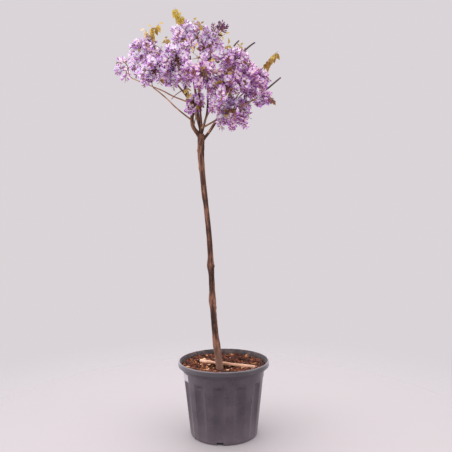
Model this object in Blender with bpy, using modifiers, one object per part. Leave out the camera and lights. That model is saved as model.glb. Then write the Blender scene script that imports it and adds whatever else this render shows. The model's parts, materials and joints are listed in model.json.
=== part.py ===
"""Tree wisteria in bloom, grown as a standard on one clear stem, in a fluted nursery pot.

Metres, +Z up. The origin is the centre of the pot's flat underside. The side that shows in a
front view faces -Y, and +X is to its right.
"""
import math
from collections import namedtuple
from random import Random

import bmesh
import bpy
import numpy as np
from mathutils import Matrix, Vector
from mathutils.bvhtree import BVHTree

# Each material's colour and roughness
FINISHES = {
    "pot_plastic": ((0.105, 0.085, 0.100), 0.55),
    "bark_mulch": ((0.16, 0.075, 0.045), 0.95),
    "peeled_wood": ((0.55, 0.33, 0.21), 0.75),
    "bark": ((0.145, 0.085, 0.065), 0.85),
    "shoot_bark": ((0.27, 0.15, 0.095), 0.75),
    "blossom": ((0.42, 0.24, 0.47), 0.60),
}

# Driving sizes of the pot
POT_HEIGHT = 0.2425
RIM_RADIUS = 0.152
RIM_HEIGHT = 0.016
SHOULDER_RADIUS = 0.142
SHOULDER_HEIGHT = 0.009
BODY_TOP = POT_HEIGHT - RIM_HEIGHT - SHOULDER_HEIGHT
BODY_TOP_RADIUS = 0.136
FOOT_RADIUS = 0.1114
WALL = 0.0032
FLOOR_THICKNESS = 0.0045
POT_STEPS = 60
FLUTES = 12
FLUTE_DEPTH = 0.0062
FLUTE_FLAT = math.radians(3)
FLUTE_HALF_ANGLE = math.radians(9)
FLUTE_TOP = 0.191
FLUTE_FADE = 0.007
FLUTE_DEEPEST = 0.150
FLUTE_FOOT = 0.020
FIRST_FLUTE = math.radians(-99)
POT_TURN = math.radians(2.65)
SLOTS = 4
SLOT_WIDTH = 0.022
SLOT_HEIGHT = 0.007

# Driving sizes of the soil and the stick that lies on it
CLEAR = 0.0003
SOIL_STEPS = 30
SOIL_BELOW_RIM = 0.0125
SOIL_HOLLOW = 0.0105
SOIL_HOLLOW_RADIUS = 0.055
SOIL_RELIEF = 0.0016
SEAT_RADIUS = 0.0165
STICK_LENGTH = 0.196
STICK_RADIUS = 0.0052
STICK_POINTS = 9
STICK_BEND = 0.0012
STICK_CENTRE = (0.011, -0.027)
STICK_TURN = math.radians(-23)

# Driving sizes of the trunk
TRUNK_FOOT = Vector((-0.0125, -0.045, 0.217))
TRUNK_FORK = Vector((-0.0700, -0.010, 0.990))
TRUNK_BOW = 0.006
TRUNK_BOW_AT = 0.22
TRUNK_BOW_SPAN = 0.68
FLARE_RADIUS = 0.0145
FLARE_HEIGHT = 0.045
FOOT_HEIGHT = 0.004
BASE_RADIUS = 0.0105
WAIST_RADIUS = 0.0082
FORK_RADIUS = 0.0115
FORK_SWELL = 0.11
TRUNK_RINGS = 27
KNOTS = ((0.30, 0.0015), (0.445, 0.0022), (0.56, 0.0026), (0.80, 0.0014))
KNOT_HEIGHT = 0.018
TRUNK_ROUNDNESS = 3
BOUGH_ROUNDNESS = 2
SHOOT_ROUNDNESS = 1
THICK_BOUGH = 0.004
BOUGH_STEP = 0.034

# Driving sizes of the blossom and the young leaves
FLOWER_LENGTH = 0.0430
FLOWER_WIDTH = 0.0340
FLOWER_THICKNESS = 0.0140
FLOWER_WIDEST = 0.64
FULL_FLOWER_REACH = 0.060
ROOT_SHARE = 0.35
TIP_FLOWER_SHARE = 0.55
FLOWERS = 5
FLOWER_GAP = 0.0150
LEAFLET_LENGTH = 0.033
LEAFLET_WIDTH = 0.0160
LEAFLET_THICKNESS = 0.0030
LEAFLET_WIDEST = 0.42
LEAFLET_PAIRS = 2
TWIG_RADIUS = 0.0026
RACHIS_RADIUS = 0.0026
RACHIS_TIP_SHARE = 0.6
RACHIS_STEPS = 3
RACEME_REACH = 0.76
ARCH = 0.8
BARE_SHARE = 0.34
REACH_LIMIT = 1.32
OUTWARDS = 0.6
LEAF_RISE = 0.012
STEM_TOP = 0.12
GOLDEN_ANGLE = math.pi * (3 - math.sqrt(5))
CELL_MARGIN = 0.0006
LIMB_MARGIN = 0.0012
TRIES = 9

# A bough is one tapering limb: it leaves its parent at a share of the parent's length, and
# bends once, over its elbow, to its tip.
Bough = namedtuple("Bough", "name parent at elbow tip foot_radius tip_radius")
BOUGHS = (
    Bough("left_bough", "trunk", 0.985, (-0.110, -0.016, 1.074), (-0.128, -0.074, 1.172),
          0.0066, 0.0042),
    Bough("leader", "trunk", 0.99, (-0.085, 0.006, 1.110), (-0.108, 0.003, 1.272),
          0.0058, 0.0034),
    Bough("right_bough", "trunk", 0.965, (-0.007, -0.022, 1.034), (0.045, -0.018, 1.178),
          0.0056, 0.0036),
    Bough("rear_bough", "trunk", 0.985, (-0.047, 0.044, 1.080), (-0.039, 0.050, 1.262),
          0.0046, 0.0032),
    Bough("front_bough", "trunk", 0.99, (-0.065, -0.044, 1.060), (-0.072, -0.112, 1.112),
          0.0042, 0.0030),
    Bough("rear_left_bough", "trunk", 0.955, (-0.066, 0.068, 1.100), (-0.197, 0.118, 1.232),
          0.0052, 0.0034),
    Bough("long_right_shoot", "leader", 0.08, (-0.015, -0.075, 1.029), (0.111, -0.080, 1.093),
          0.0036, 0.0026),
    Bough("low_left_shoot", "left_bough", 0.30, (-0.165, -0.040, 1.108), (-0.218, -0.072, 1.136),
          0.0030, 0.0022),
    Bough("far_left_shoot", "left_bough", 0.58, (-0.185, -0.022, 1.138), (-0.291, -0.014, 1.184),
          0.0030, 0.0020),
    Bough("upper_left_shoot", "left_bough", 0.93, (-0.151, -0.020, 1.240), (-0.217, 0.022, 1.278),
          0.0034, 0.0024),
    Bough("right_side_shoot", "right_bough", 0.62, (0.053, 0.000, 1.112), (0.081, 0.020, 1.148),
          0.0032, 0.0024),
    Bough("mid_right_shoot", "right_bough", 0.50, (0.033, -0.052, 1.090), (0.051, -0.062, 1.112),
          0.0030, 0.0022),
    Bough("low_right_shoot", "right_bough", 0.14, (-0.029, -0.034, 1.034), (-0.007, -0.044, 1.041),
          0.0026, 0.0020),
    Bough("low_front_shoot", "front_bough", 0.16, (-0.045, -0.060, 1.052), (-0.025, -0.094, 1.082),
          0.0026, 0.0019),
    Bough("rear_middle_shoot", "leader", 0.36, (-0.077, 0.070, 1.150), (-0.075, 0.104, 1.238),
          0.0034, 0.0026),
    Bough("rear_right_shoot", "rear_bough", 0.40, (-0.003, 0.080, 1.120), (0.039, 0.114, 1.190),
          0.0034, 0.0026),
    Bough("sprig_shoot", "left_bough", 0.20, (-0.087, -0.044, 1.040), (-0.085, -0.052, 1.048),
          0.0020, 0.0016),
    Bough("bare_twig", "left_bough", 0.80, (-0.141, -0.068, 1.126), (-0.162, -0.072, 1.100),
          0.0018, 0.0012),
)

# A mass of blossom keeps to its own space round its centre. It holds racemes that arch out
# and down from its stem, and may hold sprays of young leaves and bare cut shoots, each told
# by where its tip reaches.
Mass = namedtuple("Mass", "name bough centre reach racemes leaf_tips shoot_tips")
MASSES = (
    Mass("far_left_blossom", "far_left_shoot", (-0.311, -0.010, 1.211), (0.056, 0.058, 0.057), 4, (), ()),
    Mass("upper_left_blossom", "upper_left_shoot", (-0.261, 0.035, 1.284), (0.062, 0.064, 0.058), 5,
         ((-0.209, 0.030, 1.374), (-0.247, 0.026, 1.366)), ()),
    Mass("low_left_blossom", "low_left_shoot", (-0.206, -0.088, 1.182), (0.066, 0.062, 0.058), 5, (), ()),
    Mass("mid_left_blossom", "left_bough", (-0.141, -0.092, 1.212), (0.062, 0.062, 0.066), 5, (), ()),
    Mass("top_blossom", "leader", (-0.117, -0.002, 1.315), (0.063, 0.066, 0.060), 5,
         ((-0.149, 0.000, 1.424), (-0.093, 0.004, 1.392)), ()),
    Mass("top_right_blossom", "rear_bough", (-0.038, 0.050, 1.310), (0.057, 0.060, 0.058), 5,
         ((0.025, 0.056, 1.366),), ((0.006, 0.054, 1.392),)),
    Mass("front_blossom", "front_bough", (-0.073, -0.150, 1.166), (0.058, 0.056, 0.060), 4, (), ()),
    Mass("upper_right_blossom", "right_bough", (0.042, -0.022, 1.230), (0.064, 0.064, 0.056), 5,
         ((0.045, -0.020, 1.310),), ((0.110, 0.020, 1.312), (0.057, 0.036, 1.324))),
    Mass("right_blossom", "right_side_shoot", (0.111, 0.036, 1.180), (0.060, 0.062, 0.061), 5,
         ((0.189, 0.004, 1.268),), ((0.195, -0.030, 1.178),)),
    Mass("mid_right_blossom", "mid_right_shoot", (0.075, -0.072, 1.152), (0.060, 0.056, 0.056), 4, (), ()),
    Mass("low_right_blossom", "low_right_shoot", (0.034, -0.044, 1.057), (0.066, 0.062, 0.061), 4, (), ()),
    Mass("low_front_blossom", "low_front_shoot", (-0.001, -0.126, 1.116), (0.054, 0.052, 0.058), 4, (), ()),
    Mass("sprig_blossom", "sprig_shoot", (-0.083, -0.066, 1.084), (0.037, 0.037, 0.041), 2,
         ((-0.115, -0.072, 1.136),), ()),
    Mass("right_tip_blossom", "long_right_shoot", (0.139, -0.076, 1.099), (0.038, 0.038, 0.036), 2, (), ()),
    Mass("rear_left_blossom", "rear_left_bough", (-0.225, 0.150, 1.270), (0.070, 0.066, 0.066), 5, (), ()),
    Mass("rear_middle_blossom", "rear_middle_shoot", (-0.085, 0.150, 1.290), (0.074, 0.066, 0.066), 5,
         ((-0.061, 0.160, 1.376),), ()),
    Mass("rear_right_blossom", "rear_right_shoot", (0.059, 0.150, 1.240), (0.072, 0.068, 0.066), 5, (), ()),
)


def material(name):
    colour, roughness = FINISHES[name]
    made = bpy.data.materials.new(name)
    made.use_nodes = True
    shader = made.node_tree.nodes["Principled BSDF"]
    shader.inputs["Base Color"].default_value = (*colour, 1)
    shader.inputs["Roughness"].default_value = roughness
    shader.inputs["Metallic"].default_value = 0
    return made


def add_object(name, mesh, collection, finish=None):
    made = bpy.data.objects.new(name, mesh)
    collection.objects.link(made)
    if finish:
        mesh.materials.clear()
        mesh.materials.append(finish)
    return made


def evaluated_mesh(obj, weld):
    """The object's mesh as the viewport shows it, with a curve's loose caps welded on."""
    bpy.context.view_layer.update()
    graph = bpy.context.evaluated_depsgraph_get()
    mesh = bpy.data.meshes.new_from_object(obj.evaluated_get(graph))
    if weld:
        shape = bmesh.new()
        shape.from_mesh(mesh)
        bmesh.ops.remove_doubles(shape, verts=shape.verts, dist=1e-6)
        shape.to_mesh(mesh)
        shape.free()
    return mesh


def as_mesh_object(obj, weld=True):
    """The same object with its modifiers or its curve made a plain mesh."""
    name, matrix = obj.name, obj.matrix_world.copy()
    home, finishes = obj.users_collection[0], list(obj.data.materials)
    mesh = evaluated_mesh(obj, weld)
    bpy.data.objects.remove(obj)
    mesh.name = name
    made = add_object(name, mesh, home)
    made.matrix_world = matrix
    mesh.materials.clear()
    for finish in finishes:
        mesh.materials.append(finish)
    return made


def smooth(obj, degrees):
    obj.data.shade_smooth()
    obj.data.set_sharp_from_angle(angle=math.radians(degrees))


def islands(shape):
    """The connected bodies of a bmesh, as lists of faces."""
    left, found = set(shape.faces), []
    while left:
        start = left.pop()
        body, edge = [start], [start]
        while edge:
            face = edge.pop()
            for side in face.edges:
                for other in side.link_faces:
                    if other in left:
                        left.remove(other)
                        body.append(other)
                        edge.append(other)
        found.append(body)
    return found


def body_volume(faces):
    total = 0.0
    for face in faces:
        corners = [v.co for v in face.verts]
        for second, third in zip(corners[1:], corners[2:]):
            total += corners[0].dot(second.cross(third)) / 6
    return total


def keep_main_body(obj):
    """Drops loose scraps, and fills a hollow that fusing sealed, by dropping its inner skin."""
    shape = bmesh.new()
    shape.from_mesh(obj.data)
    bodies = sorted(islands(shape), key=body_volume)
    spare = [face for body in bodies[:-1] for face in body]
    bmesh.ops.delete(shape, geom=spare, context="FACES")
    bmesh.ops.triangulate(shape, faces=shape.faces)
    shape.to_mesh(obj.data)
    shape.free()


def combined(target, others, operation, solver="EXACT"):
    """Cuts or joins the others, which are then removed, and leaves one body."""
    home = bpy.data.collections.new("cutters")
    bpy.context.scene.collection.children.link(home)
    for other in others:
        for old in other.users_collection:
            old.objects.unlink(other)
        home.objects.link(other)
        other.hide_render = True
        other.display_type = "WIRE"
    change = target.modifiers.new("combine", "BOOLEAN")
    change.operation = operation
    change.operand_type = "COLLECTION"
    change.collection = home
    change.solver = solver
    made = as_mesh_object(target, weld=False)
    for other in list(home.objects):
        bpy.data.objects.remove(other)
    bpy.data.collections.remove(home)
    keep_main_body(made)
    return made


def flute_inset(angle, height):
    """How far the pot's wall is pressed in at this angle and height."""
    spacing = 2 * math.pi / FLUTES
    off = (angle - FIRST_FLUTE + spacing / 2) % spacing - spacing / 2
    if abs(off) >= FLUTE_HALF_ANGLE or not FLUTE_FOOT < height < FLUTE_TOP:
        return 0.0
    across = min(1, (FLUTE_HALF_ANGLE - abs(off)) / (FLUTE_HALF_ANGLE - FLUTE_FLAT))
    above = (FLUTE_TOP - height) / FLUTE_FADE
    below = (height - FLUTE_FOOT) / (FLUTE_DEEPEST - FLUTE_FOOT)
    return FLUTE_DEPTH * across * min(1, above, 0.2 + 0.8 * below)


def body_radius(height):
    """The outer radius of the pot's tapering body."""
    return FOOT_RADIUS + (BODY_TOP_RADIUS - FOOT_RADIUS) * height / BODY_TOP


def turned(name, profile, steps, collection, finish):
    """A solid turned round Z from points that run down its outer side, as (radius, height)."""
    mesh = bpy.data.meshes.new(name)
    points = [(radius, 0, height) for radius, height in profile]
    mesh.from_pydata(points, [(i, i + 1) for i in range(len(points) - 1)], [])
    made = add_object(name, mesh, collection, finish)
    spin = made.modifiers.new("turn", "SCREW")
    spin.steps = spin.render_steps = steps
    spin.use_merge_vertices = True
    spin.merge_threshold = 0.0001
    return as_mesh_object(made)


def pot(collection, finish):
    shoulder_top = POT_HEIGHT - RIM_HEIGHT
    flute_heights = [FLUTE_TOP, FLUTE_TOP - FLUTE_FADE, FLUTE_DEEPEST, FLUTE_FOOT]
    outer = [(RIM_RADIUS - 0.005, POT_HEIGHT), (RIM_RADIUS - 0.0012, POT_HEIGHT - 0.0012),
             (RIM_RADIUS, POT_HEIGHT - 0.005), (RIM_RADIUS - 0.001, shoulder_top),
             (SHOULDER_RADIUS, shoulder_top), (SHOULDER_RADIUS - 0.001, BODY_TOP),
             (BODY_TOP_RADIUS, BODY_TOP)]
    outer += [(body_radius(height), height) for height in flute_heights]
    outer += [(FOOT_RADIUS, 0.003), (FOOT_RADIUS - 0.003, 0)]
    inner = [(0, 0), (0, FLOOR_THICKNESS), (body_radius(FLOOR_THICKNESS) - WALL, FLOOR_THICKNESS)]
    inner_heights = (FLUTE_TOP - FLUTE_FADE, FLUTE_TOP)
    inner += [(body_radius(height) - WALL, height) for height in inner_heights]
    inner += [(BODY_TOP_RADIUS - WALL, BODY_TOP + 0.002), (SHOULDER_RADIUS - WALL, shoulder_top + 0.002),
              (RIM_RADIUS - 0.009, POT_HEIGHT - 0.002), (RIM_RADIUS - 0.005, POT_HEIGHT)]
    made = turned("pot", outer + inner, POT_STEPS, collection, finish)
    for vertex in made.data.vertices:
        out = Vector((vertex.co.x, vertex.co.y, 0))
        if out.length > FOOT_RADIUS - 0.01:
            angle = math.atan2(out.y, out.x)
            vertex.co -= out.normalized() * flute_inset(angle, vertex.co.z)
    made = combined(made, [drain_slot(number, collection) for number in range(SLOTS)], "DIFFERENCE")
    made.data.transform(Matrix.Rotation(POT_TURN, 4, "Z"))
    smooth(made, 17)
    return made


def drain_slot(number, collection):
    """A box that bites a drain slot out of the pot's foot."""
    shape = bmesh.new()
    bmesh.ops.create_cube(shape, size=1)
    turn = Matrix.Rotation(FIRST_FLUTE + number * 2 * math.pi / SLOTS, 4, "Z")
    place = Matrix.Translation((FOOT_RADIUS, 0, 0))
    size = Matrix.Diagonal((6 * WALL, SLOT_WIDTH, 2 * SLOT_HEIGHT, 1))
    bmesh.ops.transform(shape, matrix=turn @ place @ size, verts=shape.verts)
    mesh = bpy.data.meshes.new("slot")
    shape.to_mesh(mesh)
    shape.free()
    return add_object("slot", mesh, collection)


def soil_edge():
    """The radius at which the soil's top meets the pot's wall."""
    return SHOULDER_RADIUS - WALL - 2.5 * CLEAR


def soil_height(x, y):
    """The soil's uneven top: hollowed round the trunk, with a low relief away from it and from the wall."""
    off = math.hypot(x - TRUNK_FOOT.x, y - TRUNK_FOOT.y)
    hollow = SOIL_HOLLOW * math.exp(-((off / SOIL_HOLLOW_RADIUS) ** 2))
    relief = math.sin(97 * x + 2) * math.cos(113 * y) + 0.6 * math.sin(171 * (x + y))
    away = min(1, off / SOIL_HOLLOW_RADIUS) * (1 - min(1, math.hypot(x, y) / soil_edge()) ** 6)
    return POT_HEIGHT - SOIL_BELOW_RIM - hollow + SOIL_RELIEF * relief * away


def soil(collection, finish):
    top = POT_HEIGHT - SOIL_BELOW_RIM
    inside = WALL + 2 * CLEAR
    low, neck, waist = FLOOR_THICKNESS + CLEAR, FLUTE_TOP + 0.004, FLUTE_TOP - FLUTE_FADE
    profile = [(soil_edge() * share, top) for share in (0, 0.22, 0.42, 0.62, 0.82, 1)]
    profile += [(body_radius(BODY_TOP) - inside, BODY_TOP + 0.002), (body_radius(neck) - inside, neck),
                (body_radius(waist) - inside - FLUTE_DEPTH, waist), (body_radius(low) - inside - 0.002, low),
                (0, low)]
    made = turned("soil", profile, SOIL_STEPS, collection, finish)
    for vertex in made.data.vertices:
        if vertex.co.z > top - 0.001:
            vertex.co.z = soil_height(vertex.co.x, vertex.co.y)
    shape = bmesh.new()
    place = Matrix.Translation((TRUNK_FOOT.x, TRUNK_FOOT.y, TRUNK_FOOT.z + 0.02))
    bmesh.ops.create_cone(shape, cap_ends=True, segments=16, radius1=SEAT_RADIUS, radius2=SEAT_RADIUS,
                          depth=0.04, matrix=place)
    mesh = bpy.data.meshes.new("seat")
    shape.to_mesh(mesh)
    shape.free()
    made = combined(made, [add_object("seat", mesh, collection)], "DIFFERENCE")
    smooth(made, 50)
    bpy.context.view_layer.update()
    return made


def stick(soil_body, collection, finish):
    """A peeled stick lying on the soil: it rests on the highest places under it."""
    along = Vector((math.cos(STICK_TURN), math.sin(STICK_TURN), 0))
    across = Vector((-along.y, along.x, 0))
    points, radii = [], []
    for number in range(STICK_POINTS):
        way = (number / (STICK_POINTS - 1) - 0.5) * STICK_LENGTH
        points.append(Vector((*STICK_CENTRE, 0)) + along * way + across * STICK_BEND * math.sin(1.9 * number))
        radii.append(STICK_RADIUS * (0.86 + 0.14 * math.sin(2.3 * number)))
    ground = BVHTree.FromObject(soil_body, bpy.context.evaluated_depsgraph_get())
    level = 0
    for start, end, radius in zip(points, points[1:], map(max, radii, radii[1:])):
        for part in range(6):
            for off in (-0.9, -0.6, -0.3, 0, 0.3, 0.6, 0.9):
                place = start.lerp(end, part / 5) + across * off * radius
                hit = ground.ray_cast(place + Vector((0, 0, 1)), Vector((0, 0, -1)))[0]
                level = max(level, hit.z + radius * math.sqrt(1 - off * off) + CLEAR)
    for point in points:
        point.z = level
    return tube("fallen_stick", points, radii, 2, collection, finish)


def tube(name, points, radii, resolution, collection, finish=None, extra=0.0):
    """A tapering limb along the points, closed by flat cuts at both ends, this much larger all round."""
    if extra:
        before = (points[0] - points[1]).normalized() * extra
        after = (points[-1] - points[-2]).normalized() * extra
        points = [points[0] + before, *points[1:-1], points[-1] + after]
    curve = bpy.data.curves.new(name, "CURVE")
    curve.dimensions = "3D"
    curve.bevel_depth = 1
    curve.bevel_resolution = resolution
    curve.use_fill_caps = True
    line = curve.splines.new("POLY")
    line.points.add(len(points) - 1)
    for point, place, radius in zip(line.points, points, radii):
        point.co = (*place, 1)
        point.radius = radius + extra
    made = add_object(name, curve, collection)
    if finish:
        curve.materials.append(finish)
    return as_mesh_object(made)


def trunk_path():
    """The trunk's points and radii, from the flat cut at the soil up to the fork."""
    points, radii = [], []
    length = (TRUNK_FORK - TRUNK_FOOT).length
    heights = [0.0, FOOT_HEIGHT] + [length * (n + 1) / TRUNK_RINGS for n in range(TRUNK_RINGS)]
    for height in heights:
        share = height / length
        place = TRUNK_FOOT.lerp(TRUNK_FORK, share)
        ease = min(1, 7 * share, 12 * (1 - share))
        place.x -= TRUNK_BOW * ease * math.cos(math.pi * (share - TRUNK_BOW_AT) / TRUNK_BOW_SPAN) ** 2
        place.y += TRUNK_BOW * ease * math.sin(2 * math.pi * share)
        if height == FOOT_HEIGHT:
            place.x, place.y = TRUNK_FOOT.x, TRUNK_FOOT.y
        radius = BASE_RADIUS + (WAIST_RADIUS - BASE_RADIUS) * min(1, share / 0.7)
        radius += (FLARE_RADIUS - BASE_RADIUS) * math.exp(-((height / FLARE_HEIGHT) ** 1.2))
        radius += (FORK_RADIUS - WAIST_RADIUS) * math.exp(-(((length - height) / FORK_SWELL) ** 2))
        for knot, swell in KNOTS:
            bulge = swell * math.exp(-(((place.z - knot) / KNOT_HEIGHT) ** 2))
            radius += bulge
            place.x -= 0.5 * bulge
        place.z += CLEAR
        points.append(place)
        radii.append(radius)
    crown = (points[-1] - points[-2]).normalized()
    points += [points[-1] + crown * 0.006, points[-1] + crown * 0.010]
    radii += [FORK_RADIUS * 0.86, FORK_RADIUS * 0.5]
    return points, radii


def along_path(points, share):
    """The point at this share of a path's length."""
    lengths = [(b - a).length for a, b in zip(points, points[1:])]
    want = share * sum(lengths)
    for start, end, length in zip(points, points[1:], lengths):
        if want <= length:
            return start.lerp(end, want / length)
        want -= length
    return points[-1].copy()


def arc(start, middle, end, steps):
    """Points on the smooth bend that leaves start towards middle and arrives at end from it."""
    found = []
    for number in range(steps + 1):
        share = number / steps
        found.append(start.lerp(middle, share).lerp(middle.lerp(end, share), share))
    return found


def bough_path(bough, paths):
    """The bough's points and radii, with the slight side-to-side growth of a climbing stem."""
    start = along_path(paths[bough.parent][0], bough.at)
    rng = Random(bough.name)
    length = (Vector(bough.tip) - start).length
    steps = max(4, round(length / BOUGH_STEP))
    points = arc(start, Vector(bough.elbow), Vector(bough.tip), steps)
    side = (Vector(bough.tip) - start).cross(Vector((0, 0, 1))).normalized()
    phase, sway = rng.uniform(0, 6), 0.012 * length
    radii = []
    for number, point in enumerate(points):
        share = number / steps
        point += side * sway * math.sin(math.pi * share) * math.sin(phase + 9 * share)
        point.z += 0.5 * sway * math.sin(math.pi * share) * math.cos(phase + 11 * share)
        radii.append(bough.foot_radius + (bough.tip_radius - bough.foot_radius) * share)
    return points, radii


def crosses(path, other):
    """True where two limbs come so near that one has to be cut to meet the other."""
    for point, radius in zip(*path):
        for near, thick in zip(*other):
            if (point - near).length < radius + thick + 0.012:
                return True
    return False


def roundness(name):
    """How finely a limb's section is rounded: the trunk most, and the thin shoots least."""
    if name == "trunk":
        return TRUNK_ROUNDNESS
    thick = {bough.name: bough.foot_radius > THICK_BOUGH for bough in BOUGHS}
    return BOUGH_ROUNDNESS if thick[name] else SHOOT_ROUNDNESS


def limbs(collection, bark, shoot_bark):
    """The trunk and its boughs. Each bough is cut where it meets what was made before it."""
    paths = {"trunk": trunk_path()}
    made = {"trunk": tube("trunk", *paths["trunk"], TRUNK_ROUNDNESS, collection, bark)}
    for bough in BOUGHS:
        path = bough_path(bough, paths)
        finish = bark if bough.foot_radius > THICK_BOUGH else shoot_bark
        solid = tube(bough.name, *path, roundness(bough.name), collection, finish)
        near = [name for name in paths if crosses(path, paths[name])]
        cutters = []
        for name in near:
            cutters.append(tube("cut_" + name, *paths[name], roundness(name), collection, extra=CLEAR))
        paths[bough.name] = path
        if cutters:
            solid = combined(solid, cutters, "DIFFERENCE")
        made[bough.name] = solid
    for solid in made.values():
        smooth(solid, 60)
    return paths


def flower_blank():
    """An eight-faced flower, one unit long and wide, with its root at the origin."""
    shape = bmesh.new()
    bmesh.ops.create_uvsphere(shape, u_segments=4, v_segments=2, radius=0.5)
    for vertex in shape.verts:
        vertex.co.z += 0.5 if abs(vertex.co.z) > 0.1 else FLOWER_WIDEST
    mesh = bpy.data.meshes.new("flower_blank")
    shape.to_mesh(mesh)
    shape.free()
    return mesh


def leaf_blank():
    """An eight-faced leaflet, one unit long and wide, with its root at the origin."""
    mesh = flower_blank()
    for vertex in mesh.vertices:
        if 0.1 < vertex.co.z < 0.9:
            vertex.co.z = LEAFLET_WIDEST
    return mesh


def twig_solid(points, radii, collection, profile):
    """A three-sided twig along the points."""
    curve = bpy.data.curves.new("twig", "CURVE")
    curve.dimensions = "3D"
    curve.bevel_mode = "OBJECT"
    curve.bevel_object = profile
    curve.use_fill_caps = True
    line = curve.splines.new("POLY")
    line.points.add(len(points) - 1)
    for point, place, radius in zip(line.points, points, radii):
        point.co = (*place, 1)
        point.radius = radius
    made = as_mesh_object(add_object("twig", curve, collection))
    shape = bmesh.new()
    shape.from_mesh(made.data)
    bmesh.ops.recalc_face_normals(shape, faces=shape.faces)
    shape.to_mesh(made.data)
    shape.free()
    return made


def twig_profile(collection):
    """The triangle that every twig is drawn along."""
    curve = bpy.data.curves.new("twig_profile", "CURVE")
    line = curve.splines.new("POLY")
    line.points.add(2)
    for number, point in enumerate(line.points):
        angle = number * 2 * math.pi / 3
        point.co = (math.cos(angle), math.sin(angle), 0, 1)
    line.use_cyclic_u = True
    made = add_object("twig_profile", curve, collection)
    made.hide_render = True
    made.display_type = "WIRE"
    return made


def aimed(root, direction, roll, size):
    """The matrix that puts a blank at root, pointing along direction, at this size."""
    turn = direction.to_track_quat("Z", "Y").to_matrix().to_4x4() @ Matrix.Rotation(roll, 4, "Z")
    return Matrix.Translation(root) @ turn @ Matrix.Diagonal((*size, 1))


class Space:
    """What a mass may fill: nearer to it than to any other mass, and clear of every limb."""

    def __init__(self, mass, paths):
        self.centre = np.array(mass.centre)
        self.reach = np.array(mass.reach)
        self.own = np.mean(mass.reach)
        self.others = [(np.array(m.centre), np.mean(m.reach)) for m in MASSES if m is not mass]
        starts, ends, thick = [], [], []
        for points, radii in paths.values():
            starts += [tuple(p) for p in points[:-1]]
            ends += [tuple(p) for p in points[1:]]
            thick += [max(pair) for pair in zip(radii, radii[1:])]
        self.starts, self.runs = np.array(starts), np.array(ends) - np.array(starts)
        self.thick = np.array(thick)
        self.flower_share = min(1, self.own / FULL_FLOWER_REACH)
        self.taken = []

    def in_cell(self, points):
        points = np.array([tuple(p) for p in points])
        mine = ((points - self.centre) ** 2).sum(1) - self.own**2
        for centre, reach in self.others:
            gap = 2 * CELL_MARGIN * np.linalg.norm(centre - self.centre)
            if (mine + gap > ((points - centre) ** 2).sum(1) - reach**2).any():
                return False
        return True

    def in_reach(self, points):
        return all((((np.array(p) - self.centre) / self.reach) ** 2).sum() < REACH_LIMIT**2 for p in points)

    def clear_of_limbs(self, points, radii):
        for point, radius in zip(points, radii):
            off = np.array(point) - self.starts
            share = np.clip((off * self.runs).sum(1) / (self.runs**2).sum(1), 0, 1)
            gaps = np.linalg.norm(off - share[:, None] * self.runs, axis=1)
            if (gaps < self.thick + radius + LIMB_MARGIN).any():
                return False
        return True

    def free(self, points):
        """Whether nothing stands here yet."""
        gap = FLOWER_GAP * self.flower_share
        return all((point - other).length > gap for point in points for other in self.taken)


def stem_top(mass):
    return Vector(mass.centre) + Vector((0, 0, STEM_TOP * mass.reach[2]))


def spread(mass, azimuth, elevation, share):
    """The place at this share of the mass's reach, in this direction from its centre."""
    way = Vector((math.cos(azimuth) * math.cos(elevation), math.sin(azimuth) * math.cos(elevation),
                  math.sin(elevation)))
    return Vector([c + r * w * share for c, r, w in zip(mass.centre, mass.reach, way)])


def raceme_path(mass, number, attempt):
    """A raceme's line, arching from the mass's middle. The tips are spread evenly all round it."""
    rng = Random(f"{mass.name} {number} {attempt}")
    azimuth = len(mass.name) + number * GOLDEN_ANGLE + attempt * rng.uniform(0.3, 0.7)
    elevation = math.asin(0.86 * (1 - 2 * (number + 0.5) / mass.racemes)) + rng.uniform(-0.15, 0.15)
    over = spread(mass, azimuth, min(1.3, elevation + ARCH), RACEME_REACH)
    return arc(stem_top(mass), over, spread(mass, azimuth, elevation, RACEME_REACH), RACHIS_STEPS)


def racemes(mass, space):
    """The lines of the mass's racemes, leaving out one that every try takes out of its space."""
    for number in range(mass.racemes):
        for attempt in range(TRIES):
            path = raceme_path(mass, number, attempt)
            if space.in_cell(path) and space.clear_of_limbs(path[1:], [RACHIS_RADIUS] * RACHIS_STEPS):
                yield number, path
                break


def flower_places(path, turn, middle):
    """Each flower's place on the raceme, way outwards and size, spiralling down to the tip."""
    for number in range(FLOWERS):
        share = BARE_SHARE + (1 - BARE_SHARE) * (number + 0.7) / FLOWERS
        root = along_path(path, share)
        ahead = (along_path(path, min(1, share + 0.1)) - along_path(path, max(0, share - 0.1))).normalized()
        side = Matrix.Rotation(turn + number * GOLDEN_ANGLE, 3, ahead) @ ahead.orthogonal().normalized()
        outwards = (root - middle).normalized()
        direction = (side + ahead * (0.2 + 0.5 * share) + outwards * OUTWARDS).normalized()
        if number == FLOWERS - 1:
            direction = ahead
        yield root, ahead, direction, 1 + (TIP_FLOWER_SHARE - 1) * share


def placed(blank, matrix, collection):
    made = add_object("flower", blank, collection)
    made.matrix_world = matrix
    return made


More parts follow.
